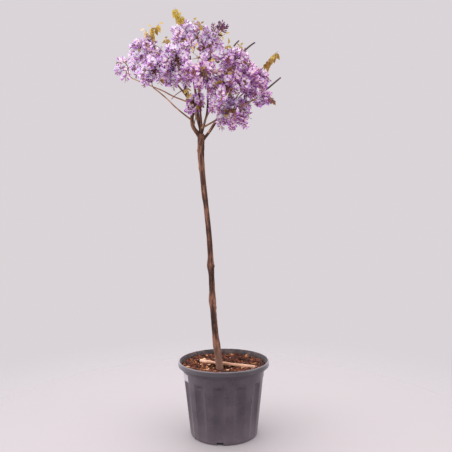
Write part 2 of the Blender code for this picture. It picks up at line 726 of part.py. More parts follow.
def grow_raceme(number, path, space, blanks, collection, rng):
    """One raceme on its twig. A flower that would leave the space or crowd another turns, or is left out."""
    radii = [RACHIS_RADIUS * (1 + (RACHIS_TIP_SHARE - 1) * n / RACHIS_STEPS) for n in range(len(path))]
    pieces = [twig_solid(path, radii, collection, blanks["profile"])]
    for root, ahead, direction, size in flower_places(path, number * 1.3, Vector(space.centre)):
        for turn in (0, 0.9, -0.9):
            aim = Matrix.Rotation(turn, 3, ahead) @ direction
            start = root - aim * ROOT_SHARE * RACHIS_RADIUS
            shape = Vector((FLOWER_WIDTH, FLOWER_THICKNESS, FLOWER_LENGTH)) * size * space.flower_share
            matrix = aimed(start, aim, rng.uniform(0, math.pi), shape)
            corners = [matrix @ v.co for v in blanks["flower"].vertices]
            middle = [start + aim * shape.z * share for share in (0.3, 0.64, 0.95)]
            swell = [shape.x * 0.25, shape.x * 0.5, shape.x * 0.1]
            inside = space.in_cell(corners) and space.in_reach(corners)
            if inside and space.free(middle[1:]) and space.clear_of_limbs(middle, swell):
                pieces.append(placed(blanks["flower"], matrix, collection))
                space.taken += middle[1:]
                break
    return pieces


def grow_leaf(tip, space, top, blanks, collection, rng):
    """A young pinnate leaf: leaflets in pairs along an arching stalk, and one at its tip."""
    end = Vector(tip) + (top - Vector(tip)).normalized() * LEAFLET_LENGTH * 0.9
    path = arc(top, top.lerp(end, 0.5) + Vector((0, 0, LEAF_RISE)), end, 3)
    if not (space.in_cell(path) and space.clear_of_limbs(path[1:], [RACHIS_RADIUS] * 3)):
        return []
    radii = [RACHIS_RADIUS * (1 - 0.12 * n) for n in range(len(path))]
    pieces = [twig_solid(path, radii, collection, blanks["profile"])]
    ahead = (path[-1] - path[-2]).normalized()
    side = ahead.cross(Vector((0.1, 0.2, 1))).normalized()
    places = [(0.99, ahead)]
    for pair in range(LEAFLET_PAIRS):
        for hand in (-1, 1):
            droop = Vector((0, 0, -rng.uniform(0.5, 1.0)))
            places.append((0.62 + 0.26 * pair, (side * hand + ahead * 0.4 + droop).normalized()))
    for share, aim in places:
        start = along_path(path, share) - aim * ROOT_SHARE * RACHIS_RADIUS
        shape = (LEAFLET_WIDTH, LEAFLET_THICKNESS, LEAFLET_LENGTH)
        matrix = aimed(start, aim, rng.uniform(-0.5, 0.5), shape)
        corners = [matrix @ v.co for v in blanks["leaf"].vertices]
        middle = [start + aim * LEAFLET_LENGTH * part for part in (0.3, 0.6, 0.95)]
        swell = [LEAFLET_WIDTH / 2, LEAFLET_WIDTH / 2, 0.001]
        if space.in_cell(corners) and space.clear_of_limbs(middle, swell):
            pieces.append(placed(blanks["leaf"], matrix, collection))
            space.taken += middle
    return pieces


def stem_path(mass, paths):
    """A mass's stem: it carries on from its bough's tip and bends to the middle of the mass."""
    points = paths[mass.bough][0]
    ahead = (points[-1] - points[-2]).normalized()
    start = points[-1] + ahead * CLEAR
    bend = arc(start + ahead * 0.010, start + ahead * 0.022, stem_top(mass), 2)
    return [start, start + ahead * 0.005] + bend


def grow_mass(mass, paths, blanks, collection, finish):
    """One mass: a stem from its bough's tip, racemes and leaves on it, all fused to one body."""
    rng = Random("mass " + mass.name)
    space = Space(mass, paths)
    stem = stem_path(mass, paths)
    foot_radius = paths[mass.bough][1][-1]
    radii = [max(TWIG_RADIUS, foot_radius * (1 - 0.06 * n)) for n in range(len(stem))]
    pieces = [twig_solid(stem, radii, collection, blanks["profile"])]
    for tip in mass.leaf_tips:
        pieces += grow_leaf(tip, space, stem[-1], blanks, collection, rng)
    for tip in mass.shoot_tips:
        shoot = [stem[-1].lerp(Vector(tip), share) for share in (0, 0.5, 1)]
        if space.in_cell(shoot) and space.clear_of_limbs(shoot, [TWIG_RADIUS] * 3):
            cut_radii = [TWIG_RADIUS, TWIG_RADIUS, TWIG_RADIUS * 0.8]
            pieces.append(twig_solid(shoot, cut_radii, collection, blanks["profile"]))
            space.taken += shoot[1:]
    for number, path in racemes(mass, space):
        pieces += grow_raceme(number, path, space, blanks, collection, rng)
    base, *others = pieces
    base.name = mass.name
    made = combined(base, others, "UNION", "MANIFOLD")
    made.data.materials.clear()
    made.data.materials.append(finish)
    return made, len(others)


def main():
    for obj in list(bpy.data.objects):
        bpy.data.objects.remove(obj)
    collection = bpy.data.collections.new("tree_wisteria")
    bpy.context.scene.collection.children.link(collection)
    helpers = bpy.data.collections.new("cutters_and_guides")
    bpy.context.scene.collection.children.link(helpers)
    finishes = {name: material(name) for name in FINISHES}
    pot(collection, finishes["pot_plastic"])
    soil_body = soil(collection, finishes["bark_mulch"])
    stick(soil_body, collection, finishes["peeled_wood"])
    paths = limbs(collection, finishes["bark"], finishes["shoot_bark"])
    blanks = {"flower": flower_blank(), "leaf": leaf_blank(), "profile": twig_profile(helpers)}
    for mass in MASSES:
        made, count = grow_mass(mass, paths, blanks, collection, finishes["blossom"])
        print(mass.name, count, "pieces,", len(made.data.polygons), "faces")


main()
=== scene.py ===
# %% [markdown]
# # A tree wisteria in bloom
# The real thing is a young nursery tree: one clear stem in a fluted plastic pot, with a head of
# boughs that carry short clusters of pea-like flowers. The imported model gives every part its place
# and size. This lesson dresses it: first the view, the light and the floor, then the pot, the bark
# mulch, the limbs, and last the crown, flower by flower.

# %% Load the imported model
import json
import math
from collections import defaultdict, namedtuple
from random import Random

import bmesh
import bpy
import numpy as np
from mathutils import Matrix, Vector, noise

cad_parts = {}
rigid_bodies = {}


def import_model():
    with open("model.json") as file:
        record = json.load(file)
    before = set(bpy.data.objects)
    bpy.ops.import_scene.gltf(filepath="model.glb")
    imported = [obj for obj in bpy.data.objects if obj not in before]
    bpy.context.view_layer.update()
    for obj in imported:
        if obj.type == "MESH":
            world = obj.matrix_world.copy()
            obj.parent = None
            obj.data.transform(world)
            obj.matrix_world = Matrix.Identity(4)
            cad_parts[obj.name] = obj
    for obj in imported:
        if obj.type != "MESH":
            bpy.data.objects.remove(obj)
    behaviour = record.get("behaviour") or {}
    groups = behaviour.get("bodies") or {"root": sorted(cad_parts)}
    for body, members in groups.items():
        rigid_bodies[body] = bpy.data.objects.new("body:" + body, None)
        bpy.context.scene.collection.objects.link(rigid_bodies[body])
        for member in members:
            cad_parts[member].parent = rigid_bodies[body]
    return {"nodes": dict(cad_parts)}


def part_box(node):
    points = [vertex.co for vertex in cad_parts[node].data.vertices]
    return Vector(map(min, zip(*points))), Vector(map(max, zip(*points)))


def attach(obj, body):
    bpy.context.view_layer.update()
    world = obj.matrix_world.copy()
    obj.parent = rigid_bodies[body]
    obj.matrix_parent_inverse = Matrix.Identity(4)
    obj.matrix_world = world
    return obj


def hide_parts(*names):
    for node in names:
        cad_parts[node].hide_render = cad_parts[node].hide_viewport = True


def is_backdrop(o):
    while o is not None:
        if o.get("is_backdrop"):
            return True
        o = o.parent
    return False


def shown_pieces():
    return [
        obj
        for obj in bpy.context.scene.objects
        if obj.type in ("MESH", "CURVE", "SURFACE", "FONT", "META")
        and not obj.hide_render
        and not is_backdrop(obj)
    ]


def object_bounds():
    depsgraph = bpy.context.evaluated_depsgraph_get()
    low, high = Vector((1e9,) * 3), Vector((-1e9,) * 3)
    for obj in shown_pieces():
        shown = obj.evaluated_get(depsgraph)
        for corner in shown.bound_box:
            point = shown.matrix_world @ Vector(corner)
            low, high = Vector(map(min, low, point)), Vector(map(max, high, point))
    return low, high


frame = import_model()
cad_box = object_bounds()
BODY = "root"
print("packed nodes:", len(frame["nodes"]), "box:", [round(v, 4) for corner in cad_box for v in corner])

# %% [markdown]
# ## The view
# The photograph was taken from table height with a level camera. Its lens is written as the focal
# length in pixels, which was fitted to the pot's rim and foot, and the picture is shifted a little
# because the horizon doesn't lie at its middle. Level cameras keep upright lines upright, so the
# lens is shifted here and not tilted.

# %% Camera
PHOTO_SIDE = 452
FOCAL_PIXELS = 530
HORIZON_ROW = 217.5
EYE = (0.011, -1.777, 0.7185)
CAMERA_ROLL = math.radians(0.4)

scene = bpy.context.scene


def into_scene(name, data):
    made = bpy.data.objects.new(name, data)
    scene.collection.objects.link(made)
    return made


lens = bpy.data.cameras.new("camera")
lens.sensor_width = 36
lens.lens = FOCAL_PIXELS / PHOTO_SIDE * lens.sensor_width
lens.shift_y = (HORIZON_ROW - PHOTO_SIDE / 2) / PHOTO_SIDE
camera = into_scene("camera", lens)
camera.location = EYE
camera.rotation_euler = (math.radians(90), CAMERA_ROLL, 0)
scene.camera = camera
scene.view_settings.view_transform = "Standard"
print("lens:", round(lens.lens, 2), "mm, shift:", round(lens.shift_y, 4))

# %% [markdown]
# ## Colours and nodes
# Colours are easiest to judge on a screen, so they are written as screen values from 0 to 255 and
# turned to the linear values that light is reckoned in. A few small helpers keep each material's
# node tree readable. The first adds a node, and where an input is given another node's socket
# instead of a value, it links the two.

# %% Helpers for colours and nodes
def tint(red, green, blue):
    """The linear colour of a screen colour, with full alpha."""
    shares = [value / 255 for value in (red, green, blue)]
    linear = [((share + 0.055) / 1.055) ** 2.4 if share > 0.04 else share / 12.92 for share in shares]
    return (*linear, 1.0)


def add_node(tree, kind, settings=None, inputs=None):
    made = tree.nodes.new(kind)
    for name, value in (settings or {}).items():
        setattr(made, name, value)
    for name, value in (inputs or {}).items():
        if isinstance(value, bpy.types.NodeSocket):
            tree.links.new(value, made.inputs[name])
        else:
            made.inputs[name].default_value = value
    return made


def object_place(tree):
    return add_node(tree, "ShaderNodeTexCoord").outputs["Object"]


def add_range(tree, value, start, end, low=0.0, high=1.0, smooth=False):
    """Carries a value that goes from start to end over to the range from low to high."""
    kind = {"interpolation_type": "SMOOTHSTEP" if smooth else "LINEAR"}
    limits = {"Value": value, "From Min": start, "From Max": end, "To Min": low, "To Max": high}
    return add_node(tree, "ShaderNodeMapRange", kind, limits).outputs["Result"]


def add_product(tree, value, factor):
    return add_node(tree, "ShaderNodeMath", {"operation": "MULTIPLY"}, {0: value, 1: factor}).outputs["Value"]


def add_layer(tree, amount, below, colour):
    """A colour laid over what is below it, by this amount."""
    return add_node(tree, "ShaderNodeMix", {"data_type": "RGBA"},
                    {"Factor": amount, "A": below, "B": colour}).outputs["Result"]


def add_ramp(tree, mask, stops):
    """Colours along a mask, as (place, colour) pairs."""
    made = add_node(tree, "ShaderNodeValToRGB", {}, {"Fac": mask})
    band = made.color_ramp
    while len(band.elements) < len(stops):
        band.elements.new(0.5)
    for element, (place, colour) in zip(band.elements, stops):
        element.position = place
        element.color = colour
    return made.outputs["Color"]


def mix_surfaces(tree, amount, first, second):
    """Ends a material's or the world's tree in a mix of two surfaces."""
    mix = add_node(tree, "ShaderNodeMixShader", {}, {"Fac": amount, 1: first, 2: second})
    end = next(node for node in tree.nodes if "Output" in node.bl_idname)
    tree.links.new(mix.outputs["Shader"], end.inputs["Surface"])


def new_finish(name, roughness, specular=0.5):
    made = bpy.data.materials.new(name)
    made.use_nodes = True
    shader = made.node_tree.nodes["Principled BSDF"]
    shader.inputs["Roughness"].default_value = roughness
    shader.inputs["Specular IOR Level"].default_value = specular
    return made, made.node_tree, shader


def bmesh_to_mesh(shape, name):
    mesh = bpy.data.meshes.new(name)
    shape.to_mesh(mesh)
    shape.free()
    return mesh


# %% [markdown]
# Plastic, wood, bark and bark chips all vary in patches or streaks. One node group makes such a
# mask for all of them: noise, stretched along an axis where the stuff has a grain, with its
# contrast set by two limits.

# %% The mottle group
def mottle_group():
    group = bpy.data.node_groups.new("mottle", "ShaderNodeTree")
    sockets = [(name, "NodeSocketVector") for name in ("Coordinates", "Stretch")]
    sockets += [(name, "NodeSocketFloat") for name in ("Scale", "Low", "High")]
    for name, kind in sockets:
        group.interface.new_socket(name, in_out="INPUT", socket_type=kind)
    group.interface.new_socket("Mask", in_out="OUTPUT", socket_type="NodeSocketFloat")
    given = add_node(group, "NodeGroupInput").outputs
    drawn = add_node(group, "ShaderNodeVectorMath", {"operation": "MULTIPLY"},
                     {0: given["Coordinates"], 1: given["Stretch"]})
    cloud = add_node(group, "ShaderNodeTexNoise", {}, {
        "Vector": drawn.outputs["Vector"], "Scale": given["Scale"], "Detail": 5.0, "Roughness": 0.62})
    mask = add_range(group, cloud.outputs["Fac"], given["Low"], given["High"], smooth=True)
    add_node(group, "NodeGroupOutput", {}, {"Mask": mask})
    return group


MOTTLE = mottle_group()


def add_mottle(tree, coordinates, scale, low=0.35, high=0.65, stretch=(1, 1, 1)):
    inputs = {"Coordinates": coordinates, "Stretch": stretch, "Scale": scale, "Low": low, "High": high}
    return add_node(tree, "ShaderNodeGroup", {"node_tree": MOTTLE}, inputs).outputs["Mask"]


def add_bump(tree, shader, height, distance, strength=1.0):
    inputs = {"Height": height, "Distance": distance, "Strength": strength}
    bump = add_node(tree, "ShaderNodeBump", {}, inputs)
    tree.links.new(bump.outputs["Normal"], shader.inputs["Normal"])


print("node group:", MOTTLE.name, "with", len(MOTTLE.nodes), "nodes")

# %% [markdown]
# ## The stage
# The room in the photograph is left out. What it gives is soft daylight: a pale sky that is
# brightest towards the upper left, and three broad lamps for the windows and the bright room. The
# camera sees a pale wall tone, and the floor fades into it, so no edge shows.

# %% World, lamps and floor
WALL_TONE = tint(218, 212, 216)
SKY_TONE = (0.94, 0.905, 0.955, 1)
SKY_SIDE = (-0.66, 0.10, 0.74)
SKY_STRENGTH = (1.24, 2.68)
ROOM_SIDE = (0.0, -0.94, -0.34)
ROOM_STRENGTH = (1.0, 0.78)
FLOOR_RADIUS = 2.6
FLOOR_FADE = (0.35, 1.5)
# Name, place, aim, diameter, power and colour
LAMPS = (("window", (-2.3, -1.5, 2.5), (-0.05, 0, 0.9), 1.6, 12, (1, 0.98, 0.99)),
         ("low_window", (-2.2, -0.6, 0.9), (0, 0, 0.3), 1.2, 10, (1, 0.97, 0.98)),
         ("room_fill", (2.4, -0.9, 0.9), (0, 0, 0.6), 1.6, 20, (1, 0.97, 0.98)))


def make_world():
    """Light that grows towards the sky's side and falls towards the room's, behind a plain wall tone."""
    world = bpy.data.worlds.new("soft_room")
    scene.world = world
    world.use_nodes = True
    tree = world.node_tree
    lit = tree.nodes["Background"]
    lit.inputs["Color"].default_value = SKY_TONE
    place = add_node(tree, "ShaderNodeTexCoord").outputs["Generated"]
    strengths = []
    for side, start, strength in ((SKY_SIDE, -1.0, SKY_STRENGTH), (ROOM_SIDE, 0.0, ROOM_STRENGTH)):
        facing = add_node(tree, "ShaderNodeVectorMath", {"operation": "DOT_PRODUCT"}, {0: place, 1: side})
        strengths.append(add_range(tree, facing.outputs["Value"], start, 1.0, *strength))
    tree.links.new(add_product(tree, *strengths), lit.inputs["Strength"])
    seen = add_node(tree, "ShaderNodeBackground", {}, {"Color": WALL_TONE})
    path = add_node(tree, "ShaderNodeLightPath")
    mix_surfaces(tree, path.outputs["Is Camera Ray"], lit.outputs["Background"], seen.outputs["Background"])


def add_lamp(name, place, aim, size, power, colour):
    lamp = bpy.data.lights.new(name, "AREA")
    lamp.shape = "DISK"
    lamp.size = size
    lamp.energy = power
    lamp.color = colour
    made = into_scene(name, lamp)
    made.location = place
    made.rotation_euler = (Vector(aim) - Vector(place)).to_track_quat("-Z", "Y").to_euler()


def make_floor():
    shape = bmesh.new()
    bmesh.ops.create_circle(shape, cap_ends=True, segments=96, radius=FLOOR_RADIUS)
    mesh = bmesh_to_mesh(shape, "floor")
    finish, tree, shader = new_finish("pale_floor", 0.7)
    shader.inputs["Base Color"].default_value = tint(151, 146, 146)
    reach = add_node(tree, "ShaderNodeVectorMath", {"operation": "LENGTH"}, {0: object_place(tree)})
    fade = add_range(tree, reach.outputs["Value"], *FLOOR_FADE, smooth=True)
    clear = add_node(tree, "ShaderNodeBsdfTransparent")
    mix_surfaces(tree, fade, shader.outputs["BSDF"], clear.outputs["BSDF"])
    mesh.materials.append(finish)
    into_scene("floor", mesh)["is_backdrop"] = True


make_world()
for lamp_settings in LAMPS:
    add_lamp(*lamp_settings)
make_floor()
print("lamps:", [o.name for o in scene.objects if o.type == "LIGHT"])

# %% [markdown]
# ## Putting pieces into the scene
# Every finished piece lies untransformed at the origin, with its place in its mesh. It rides on
# the plant's one body and may stand for imported nodes, which it hides.

# %% Helpers for pieces
def add_piece(name, mesh, finishes, nodes=(), degrees=None):
    mesh.name = name
    for finish in finishes:
        mesh.materials.append(finish)
    made = into_scene(name, mesh)
    mesh.shade_smooth()
    if degrees:
        mesh.set_sharp_from_angle(angle=math.radians(degrees))
    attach(made, BODY)
    if nodes:
        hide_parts(*nodes)
    print(name + ":", len(mesh.polygons), "faces")


def with_modifiers(mesh, *changes):
    """The mesh after these modifiers, each given as (kind, settings)."""
    holder = into_scene("holder", mesh)
    for kind, settings in changes:
        change = holder.modifiers.new(kind.lower(), kind)
        for name, value in settings.items():
            setattr(change, name, value)
    bpy.context.view_layer.update()
    made = bpy.data.meshes.new_from_object(holder.evaluated_get(bpy.context.evaluated_depsgraph_get()))
    bpy.data.objects.remove(holder)
    return made


# %% [markdown]
# ## The pot
# A nursery container is blown or moulded in one piece: a rolled rim, a step under it, and a
# tapering body with shallow flutes that stiffen the wall and fade towards the foot. Its section is
# drawn once and spun round the axis in small steps. The flutes are then pressed in by moving
# vertices, which gives them soft edges that no cut would, and a bevel rounds what corners are
# left. The drain slots are the only true cuts.

# %% Sizes of the pot
POT_HEIGHT = 0.2425
RIM_RADIUS = 0.152
RIM_HEIGHT = 0.016
# How far in from the rim's widest ring, and how far below its top
RIM_CURVE = ((0.0046, 0), (0.0033, 0.0002), (0.0021, 0.0007), (0.0012, 0.0015),
             (0.0006, 0.0026), (0.0004, 0.0038), (0.0003, 0.0112), (0.0001, 0.0134),
             (0.0, 0.0147), (0.0005, 0.0157), (0.0020, 0.0160), (0.0050, 0.0160))
# The rim's side is painted darker, as painted shade. It lies between these depths below the top, near the
# widest ring.
RIM_BAND = (0.0020, 0.0150)
RIM_BAND_DEPTH = 0.0015
RIM_PAINTED_SHADE = 3.2
SHOULDER_RADIUS = 0.142
SHOULDER_HEIGHT = 0.009
BODY_TOP = POT_HEIGHT - RIM_HEIGHT - SHOULDER_HEIGHT
BODY_TOP_RADIUS = 0.136
FOOT_RADIUS = 0.1114
FOOT_CHAMFER = (0.0035, 0.004)
WALL = 0.0032
FLOOR_THICKNESS = 0.0045
POT_STEPS = 540
WALL_ROWS = 40
ROUNDING = 0.0009
ROUNDED_FROM = math.radians(40)
# The inner wall is painted darker, as painted shade, above this height and up to this far below the lip
INNER_SHADE_FROM = 0.15
INNER_SHADE_LIP_GAP = 0.0006
FLUTES = 12
FLUTE_DEPTH = 0.0068
FLUTE_HALF_ANGLE = math.radians(9)
FLUTE_TOP = 0.188
FLUTE_FADE = 0.007
FLUTE_DEEPEST = 0.150
FLUTE_FOOT = 0.020
FIRST_FLUTE = math.radians(-96.35)
SLOTS = 4
SLOT_WIDTH = 0.022
SLOT_HEIGHT = 0.0095


def eased(share):
    share = max(0.0, min(1.0, share))
    return share * share * (3 - 2 * share)


def body_radius(height):
    return FOOT_RADIUS + (BODY_TOP_RADIUS - FOOT_RADIUS) * height / BODY_TOP


def flute_inset(angle, height):
    """How far the wall is pressed in at this angle and height."""
    spacing = 2 * math.pi / FLUTES
    off = abs((angle - FIRST_FLUTE + spacing / 2) % spacing - spacing / 2)
    across = 1 - min(1, off / FLUTE_HALF_ANGLE) ** 2.2
    above = eased((FLUTE_TOP - height) / FLUTE_FADE)
    below = (height - FLUTE_FOOT) / (FLUTE_DEEPEST - FLUTE_FOOT)
    return FLUTE_DEPTH * across * above * min(1, max(0.0, 0.4 + 0.6 * below)) * eased(height / FLUTE_FOOT)


# %% The pot's section, spun and fluted
def pot_section():
    """(radius, height) down the outer side, across the floor and up the inner side."""
    rim_foot = POT_HEIGHT - RIM_HEIGHT
    outer = [(RIM_RADIUS - inset, POT_HEIGHT - below) for inset, below in RIM_CURVE]
    outer += [(SHOULDER_RADIUS, rim_foot + 0.0006), (SHOULDER_RADIUS - 0.0008, BODY_TOP),
              (BODY_TOP_RADIUS, BODY_TOP - 0.001)]
    outer += [(body_radius(h), h) for h in np.linspace(BODY_TOP - 0.006, FOOT_CHAMFER[1], WALL_ROWS)]
    outer += [(FOOT_RADIUS - FOOT_CHAMFER[0], 0), (0, 0)]
    inner = [(0, FLOOR_THICKNESS), (body_radius(0) - WALL - 0.003, FLOOR_THICKNESS)]
    inner += [(body_radius(h) - WALL, h) for h in np.linspace(0.010, BODY_TOP - 0.004, WALL_ROWS)]
    inner += [(SHOULDER_RADIUS - WALL, rim_foot - 0.002), (SHOULDER_RADIUS - WALL + 0.001, rim_foot + 0.005),
              (RIM_RADIUS - 0.0078, POT_HEIGHT - 0.003)]
    return outer + inner


def spun(section, steps, closed=True):
    """A solid of revolution round Z, from the points of its section."""
    shape = bmesh.new()
    corners = [shape.verts.new((radius, 0, height)) for radius, height in section]
    pairs = list(zip(corners, corners[1:]))
    if closed:
        pairs.append((corners[-1], corners[0]))
    edges = [shape.edges.new(pair) for pair in pairs]
    bmesh.ops.spin(shape, geom=corners + edges, axis=(0, 0, 1), cent=(0, 0, 0), angle=2 * math.pi,
                   steps=steps, use_merge=True)
    bmesh.ops.remove_doubles(shape, verts=shape.verts, dist=1e-6)
    bmesh.ops.dissolve_degenerate(shape, edges=shape.edges, dist=1e-7)
    bmesh.ops.recalc_face_normals(shape, faces=shape.faces)
    return shape


def drain_cutters():
    shape = bmesh.new()
    for number in range(SLOTS):
        turn = Matrix.Rotation(FIRST_FLUTE + number * 2 * math.pi / SLOTS, 4, "Z")
        size = Matrix.Diagonal((16 * WALL, SLOT_WIDTH, 2 * SLOT_HEIGHT, 1))
        matrix = turn @ Matrix.Translation((FOOT_RADIUS, 0, 0)) @ size
        bmesh.ops.create_cube(shape, size=1, matrix=matrix)
    return into_scene("drain_cutters", bmesh_to_mesh(shape, "drain_cutters"))


def recess_and_rim_shade(x, y, height):
    """How much painted shade darkens the plastic here: on a flute's floor and on the rim's side."""
    in_band = RIM_BAND[0] < POT_HEIGHT - height < RIM_BAND[1]
    if in_band and math.hypot(x, y) > RIM_RADIUS - RIM_BAND_DEPTH:
        return RIM_PAINTED_SHADE
    return flute_inset(math.atan2(y, x), height) / FLUTE_DEPTH


def make_pot():
    shape = spun(pot_section(), POT_STEPS)
    for vertex in shape.verts:
        out = Vector((vertex.co.x, vertex.co.y, 0))
        if out.length > FOOT_RADIUS - 0.012:
            vertex.co -= out.normalized() * flute_inset(math.atan2(out.y, out.x), vertex.co.z)
    cutters = drain_cutters()
    cut = ("BOOLEAN", {"operation": "DIFFERENCE", "solver": "EXACT", "object": cutters})
    rounding = ("BEVEL", {"width": ROUNDING, "segments": 2, "limit_method": "ANGLE",
                          "angle_limit": ROUNDED_FROM})
    mesh = with_modifiers(bmesh_to_mesh(shape, "pot_shell"), cut, rounding)
    bpy.data.objects.remove(cutters)
    for face in mesh.polygons:
        # Inner faces high on the wall take the second finish, dark with painted shade.
        inwards = face.normal.x * face.center.x + face.normal.y * face.center.y < -0.05
        in_inner_shade = inwards and INNER_SHADE_FROM < face.center.z < POT_HEIGHT - INNER_SHADE_LIP_GAP
        face.material_index = 1 if in_inner_shade else 0
    shares = [recess_and_rim_shade(*vertex.co) for vertex in mesh.vertices]
    mesh.attributes.new("unworn", "FLOAT", "POINT").data.foreach_set("value", shares)
    return mesh


# %% [markdown]
# Charcoal polypropylene is never one grey. It holds a violet cast, scuffs run round it where pots are
# stacked, and watering leaves a faint bloom of dust low on the wall. The lip is painted paler, a
# painted highlight, and the flutes' floors and the rim's side are painted darker, as painted shade.
# Each of these is a mask that lays one more tone over the colour, and a very fine bump gives the
# moulded grain.

# %% Pot plastic
LIP_HIGHLIGHT = (0.0032, 0.0008)
DUST_TOP = 0.09


def pot_finish():
    finish, tree, shader = new_finish("charcoal_plastic", 0.5)
    place = object_place(tree)
    height = add_node(tree, "ShaderNodeSeparateXYZ", {}, {"Vector": place}).outputs["Z"]
    patches = add_mottle(tree, place, 14, 0.3, 0.7)
    colour = add_ramp(tree, patches, [(0, tint(52, 44, 50)), (0.55, tint(60, 51, 58)), (1, tint(69, 59, 66))])
    scuffs = add_product(tree, add_mottle(tree, place, 60, 0.56, 0.74, (1, 1, 4.5)), 0.32)
    # Painted highlight: the top of the lip is laid paler.
    lip = add_range(tree, height, *[POT_HEIGHT - depth for depth in LIP_HIGHLIGHT], 0, 0.40, smooth=True)
    # Painted shade: the flutes' floors and the rim's side are laid darker.
    unworn = add_node(tree, "ShaderNodeAttribute", {"attribute_name": "unworn"}).outputs["Fac"]
    dust = add_range(tree, height, DUST_TOP, 0, 0, 0.42, smooth=True)
    for amount, tone in ((scuffs, tint(98, 88, 94)), (lip, tint(106, 94, 100)),
                         (add_product(tree, unworn, 0.22), tint(36, 29, 35)), (dust, tint(98, 86, 92))):
        colour = add_layer(tree, amount, colour, tone)
    tree.links.new(colour, shader.inputs["Base Color"])
    tree.links.new(add_range(tree, patches, 0, 1, 0.26, 0.40), shader.inputs["Roughness"])
    add_bump(tree, shader, add_mottle(tree, place, 900, 0.2, 0.8), 0.00008, 0.3)
    return finish


def mottled_finish(name, roughness, scale, stops, limits, stretch=(1, 1, 1), specular=0.5, bump=None):
    """A mottled finish. A bump of two values, distance and strength, is the mottle's own relief. One of
    five starts with the scale and limits of a relief of its own."""
    finish, tree, shader = new_finish(name, roughness, specular)
    place = object_place(tree)
    mask = add_mottle(tree, place, scale, *limits, stretch)
    tree.links.new(add_ramp(tree, mask, stops), shader.inputs["Base Color"])
    if bump:
        *grain, distance, strength = bump
        add_bump(tree, shader, add_mottle(tree, place, *grain) if grain else mask, distance, strength)
    return finish


# The inner wall's finish is dark, as painted shade, and dull
inner_shade_finish = mottled_finish("stained_plastic", 0.8, 70, [(0, tint(34, 27, 28)), (0.6, tint(50, 40, 41)),
                                                      (1, tint(72, 56, 52))], (0.35, 0.65), (1, 1, 0.5))
add_piece("pot_shell", make_pot(), [pot_finish(), inner_shade_finish], ["pot"], 24)

# %% [markdown]
# A plain pale patch of paper is stuck to the wall under the rim, at the left. It carries
# nothing. It is a strip of a cylinder, cut from a grid that is bent round the pot, with a little
# thickness so that its edge catches the light.

# %% The blank patch
PATCH_MIDDLE = math.radians(190.8)
PATCH_ARC = math.radians(41.6)
PATCH_LOW = 0.1820
PATCH_HIGH = 0.2110
PATCH_LIFT = 0.0004


def make_patch():
    shape = bmesh.new()
    bmesh.ops.create_grid(shape, x_segments=24, y_segments=12, size=1)
    for vertex in shape.verts:
        angle = PATCH_MIDDLE + vertex.co.x * PATCH_ARC / 2
        height = (PATCH_LOW + PATCH_HIGH) / 2 + vertex.co.y * (PATCH_HIGH - PATCH_LOW) / 2
        radius = body_radius(height) - flute_inset(angle, height) + PATCH_LIFT
        vertex.co = (radius * math.cos(angle), radius * math.sin(angle), height)
    bmesh.ops.recalc_face_normals(shape, faces=shape.faces)
    thick = ("SOLIDIFY", {"thickness": 0.0003, "offset": 0})
    return with_modifiers(bmesh_to_mesh(shape, "patch"), thick)


paper = mottled_finish("blank_paper", 0.62, 240, [(0, tint(148, 142, 146)), (1, tint(160, 154, 158))],
                       (0.3, 0.7), bump=(0.0001, 0.4))
add_piece("blank_patch", make_patch(), [paper], (), 40)

# %% [markdown]
# ## Many small things in one mesh
# Bark chips, twigs, petals and leaflets come in hundreds or thousands. Each kind is modelled once
# as a blank with bmesh, read into arrays, and then laid out with one matrix for each copy, all
# into one mesh. That takes a moment where thousands of objects would take minutes.

# %% Blanks and copies
Blank = namedtuple("Blank", "points corners starts finishes")


def blank_of(shape):
    """A bmesh as arrays: its points, each face's corners, where each face starts, and its finish."""
    shape.verts.index_update()
    points = np.array([tuple(vertex.co) for vertex in shape.verts])
    corners, starts, finishes = [], [], []
    for face in shape.faces:
        starts.append(len(corners))
        corners += [vertex.index for vertex in face.verts]
        finishes.append(face.material_index)
    shape.free()
    return Blank(points, np.array(corners), np.array(starts), np.array(finishes))


def mesh_of(name, blanks):
    """One mesh of many blanks that already lie in their places."""
    points, corners, starts, finishes = [], [], [], []
    point_count = corner_count = 0
    for blank in blanks:
        points.append(blank.points)
        corners.append(blank.corners + point_count)
        starts.append(blank.starts + corner_count)
        finishes.append(blank.finishes)
        point_count += len(blank.points)
        corner_count += len(blank.corners)
    mesh = bpy.data.meshes.new(name)
    mesh.vertices.add(point_count)
    mesh.vertices.foreach_set("co", np.concatenate(points).astype(np.float32).ravel())
    mesh.loops.add(corner_count)
    mesh.loops.foreach_set("vertex_index", np.concatenate(corners).astype(np.int32))
    starts = np.concatenate(starts).astype(np.int32)
    mesh.polygons.add(len(starts))
    mesh.polygons.foreach_set("loop_start", starts)
    mesh.polygons.foreach_set("material_index", np.concatenate(finishes).astype(np.int32))
    mesh.update(calc_edges=True)
    mesh.validate()
    return mesh


def copies(blank, matrices):
    """The blank laid out once for each matrix, as one larger blank."""
    matrices = np.array([np.array(matrix) for matrix in matrices])
    count, size = len(matrices), len(blank.points)
    points = np.einsum("mij,nj->mni", matrices[:, :3, :3], blank.points) + matrices[:, None, :3, 3]
    corners = (blank.corners[None] + size * np.arange(count)[:, None]).ravel()
    starts = (blank.starts[None] + len(blank.corners) * np.arange(count)[:, None]).ravel()
    return Blank(points.reshape(-1, 3), corners, starts, np.tile(blank.finishes, count))


# %% [markdown]
# ## The mulch
# Composted bark lies in flat, broken chips of every size, from crumbs to flakes as long as a
# thumb, some wet and nearly black, some dry and tan. Under them is a bed with the packed soil's
# own hollow round the stem, roughened here. The chips are squashed and knocked-about cubes that
# lie nearly flat on the bed, in layers, and each tone is its own mesh with its own plain colour.

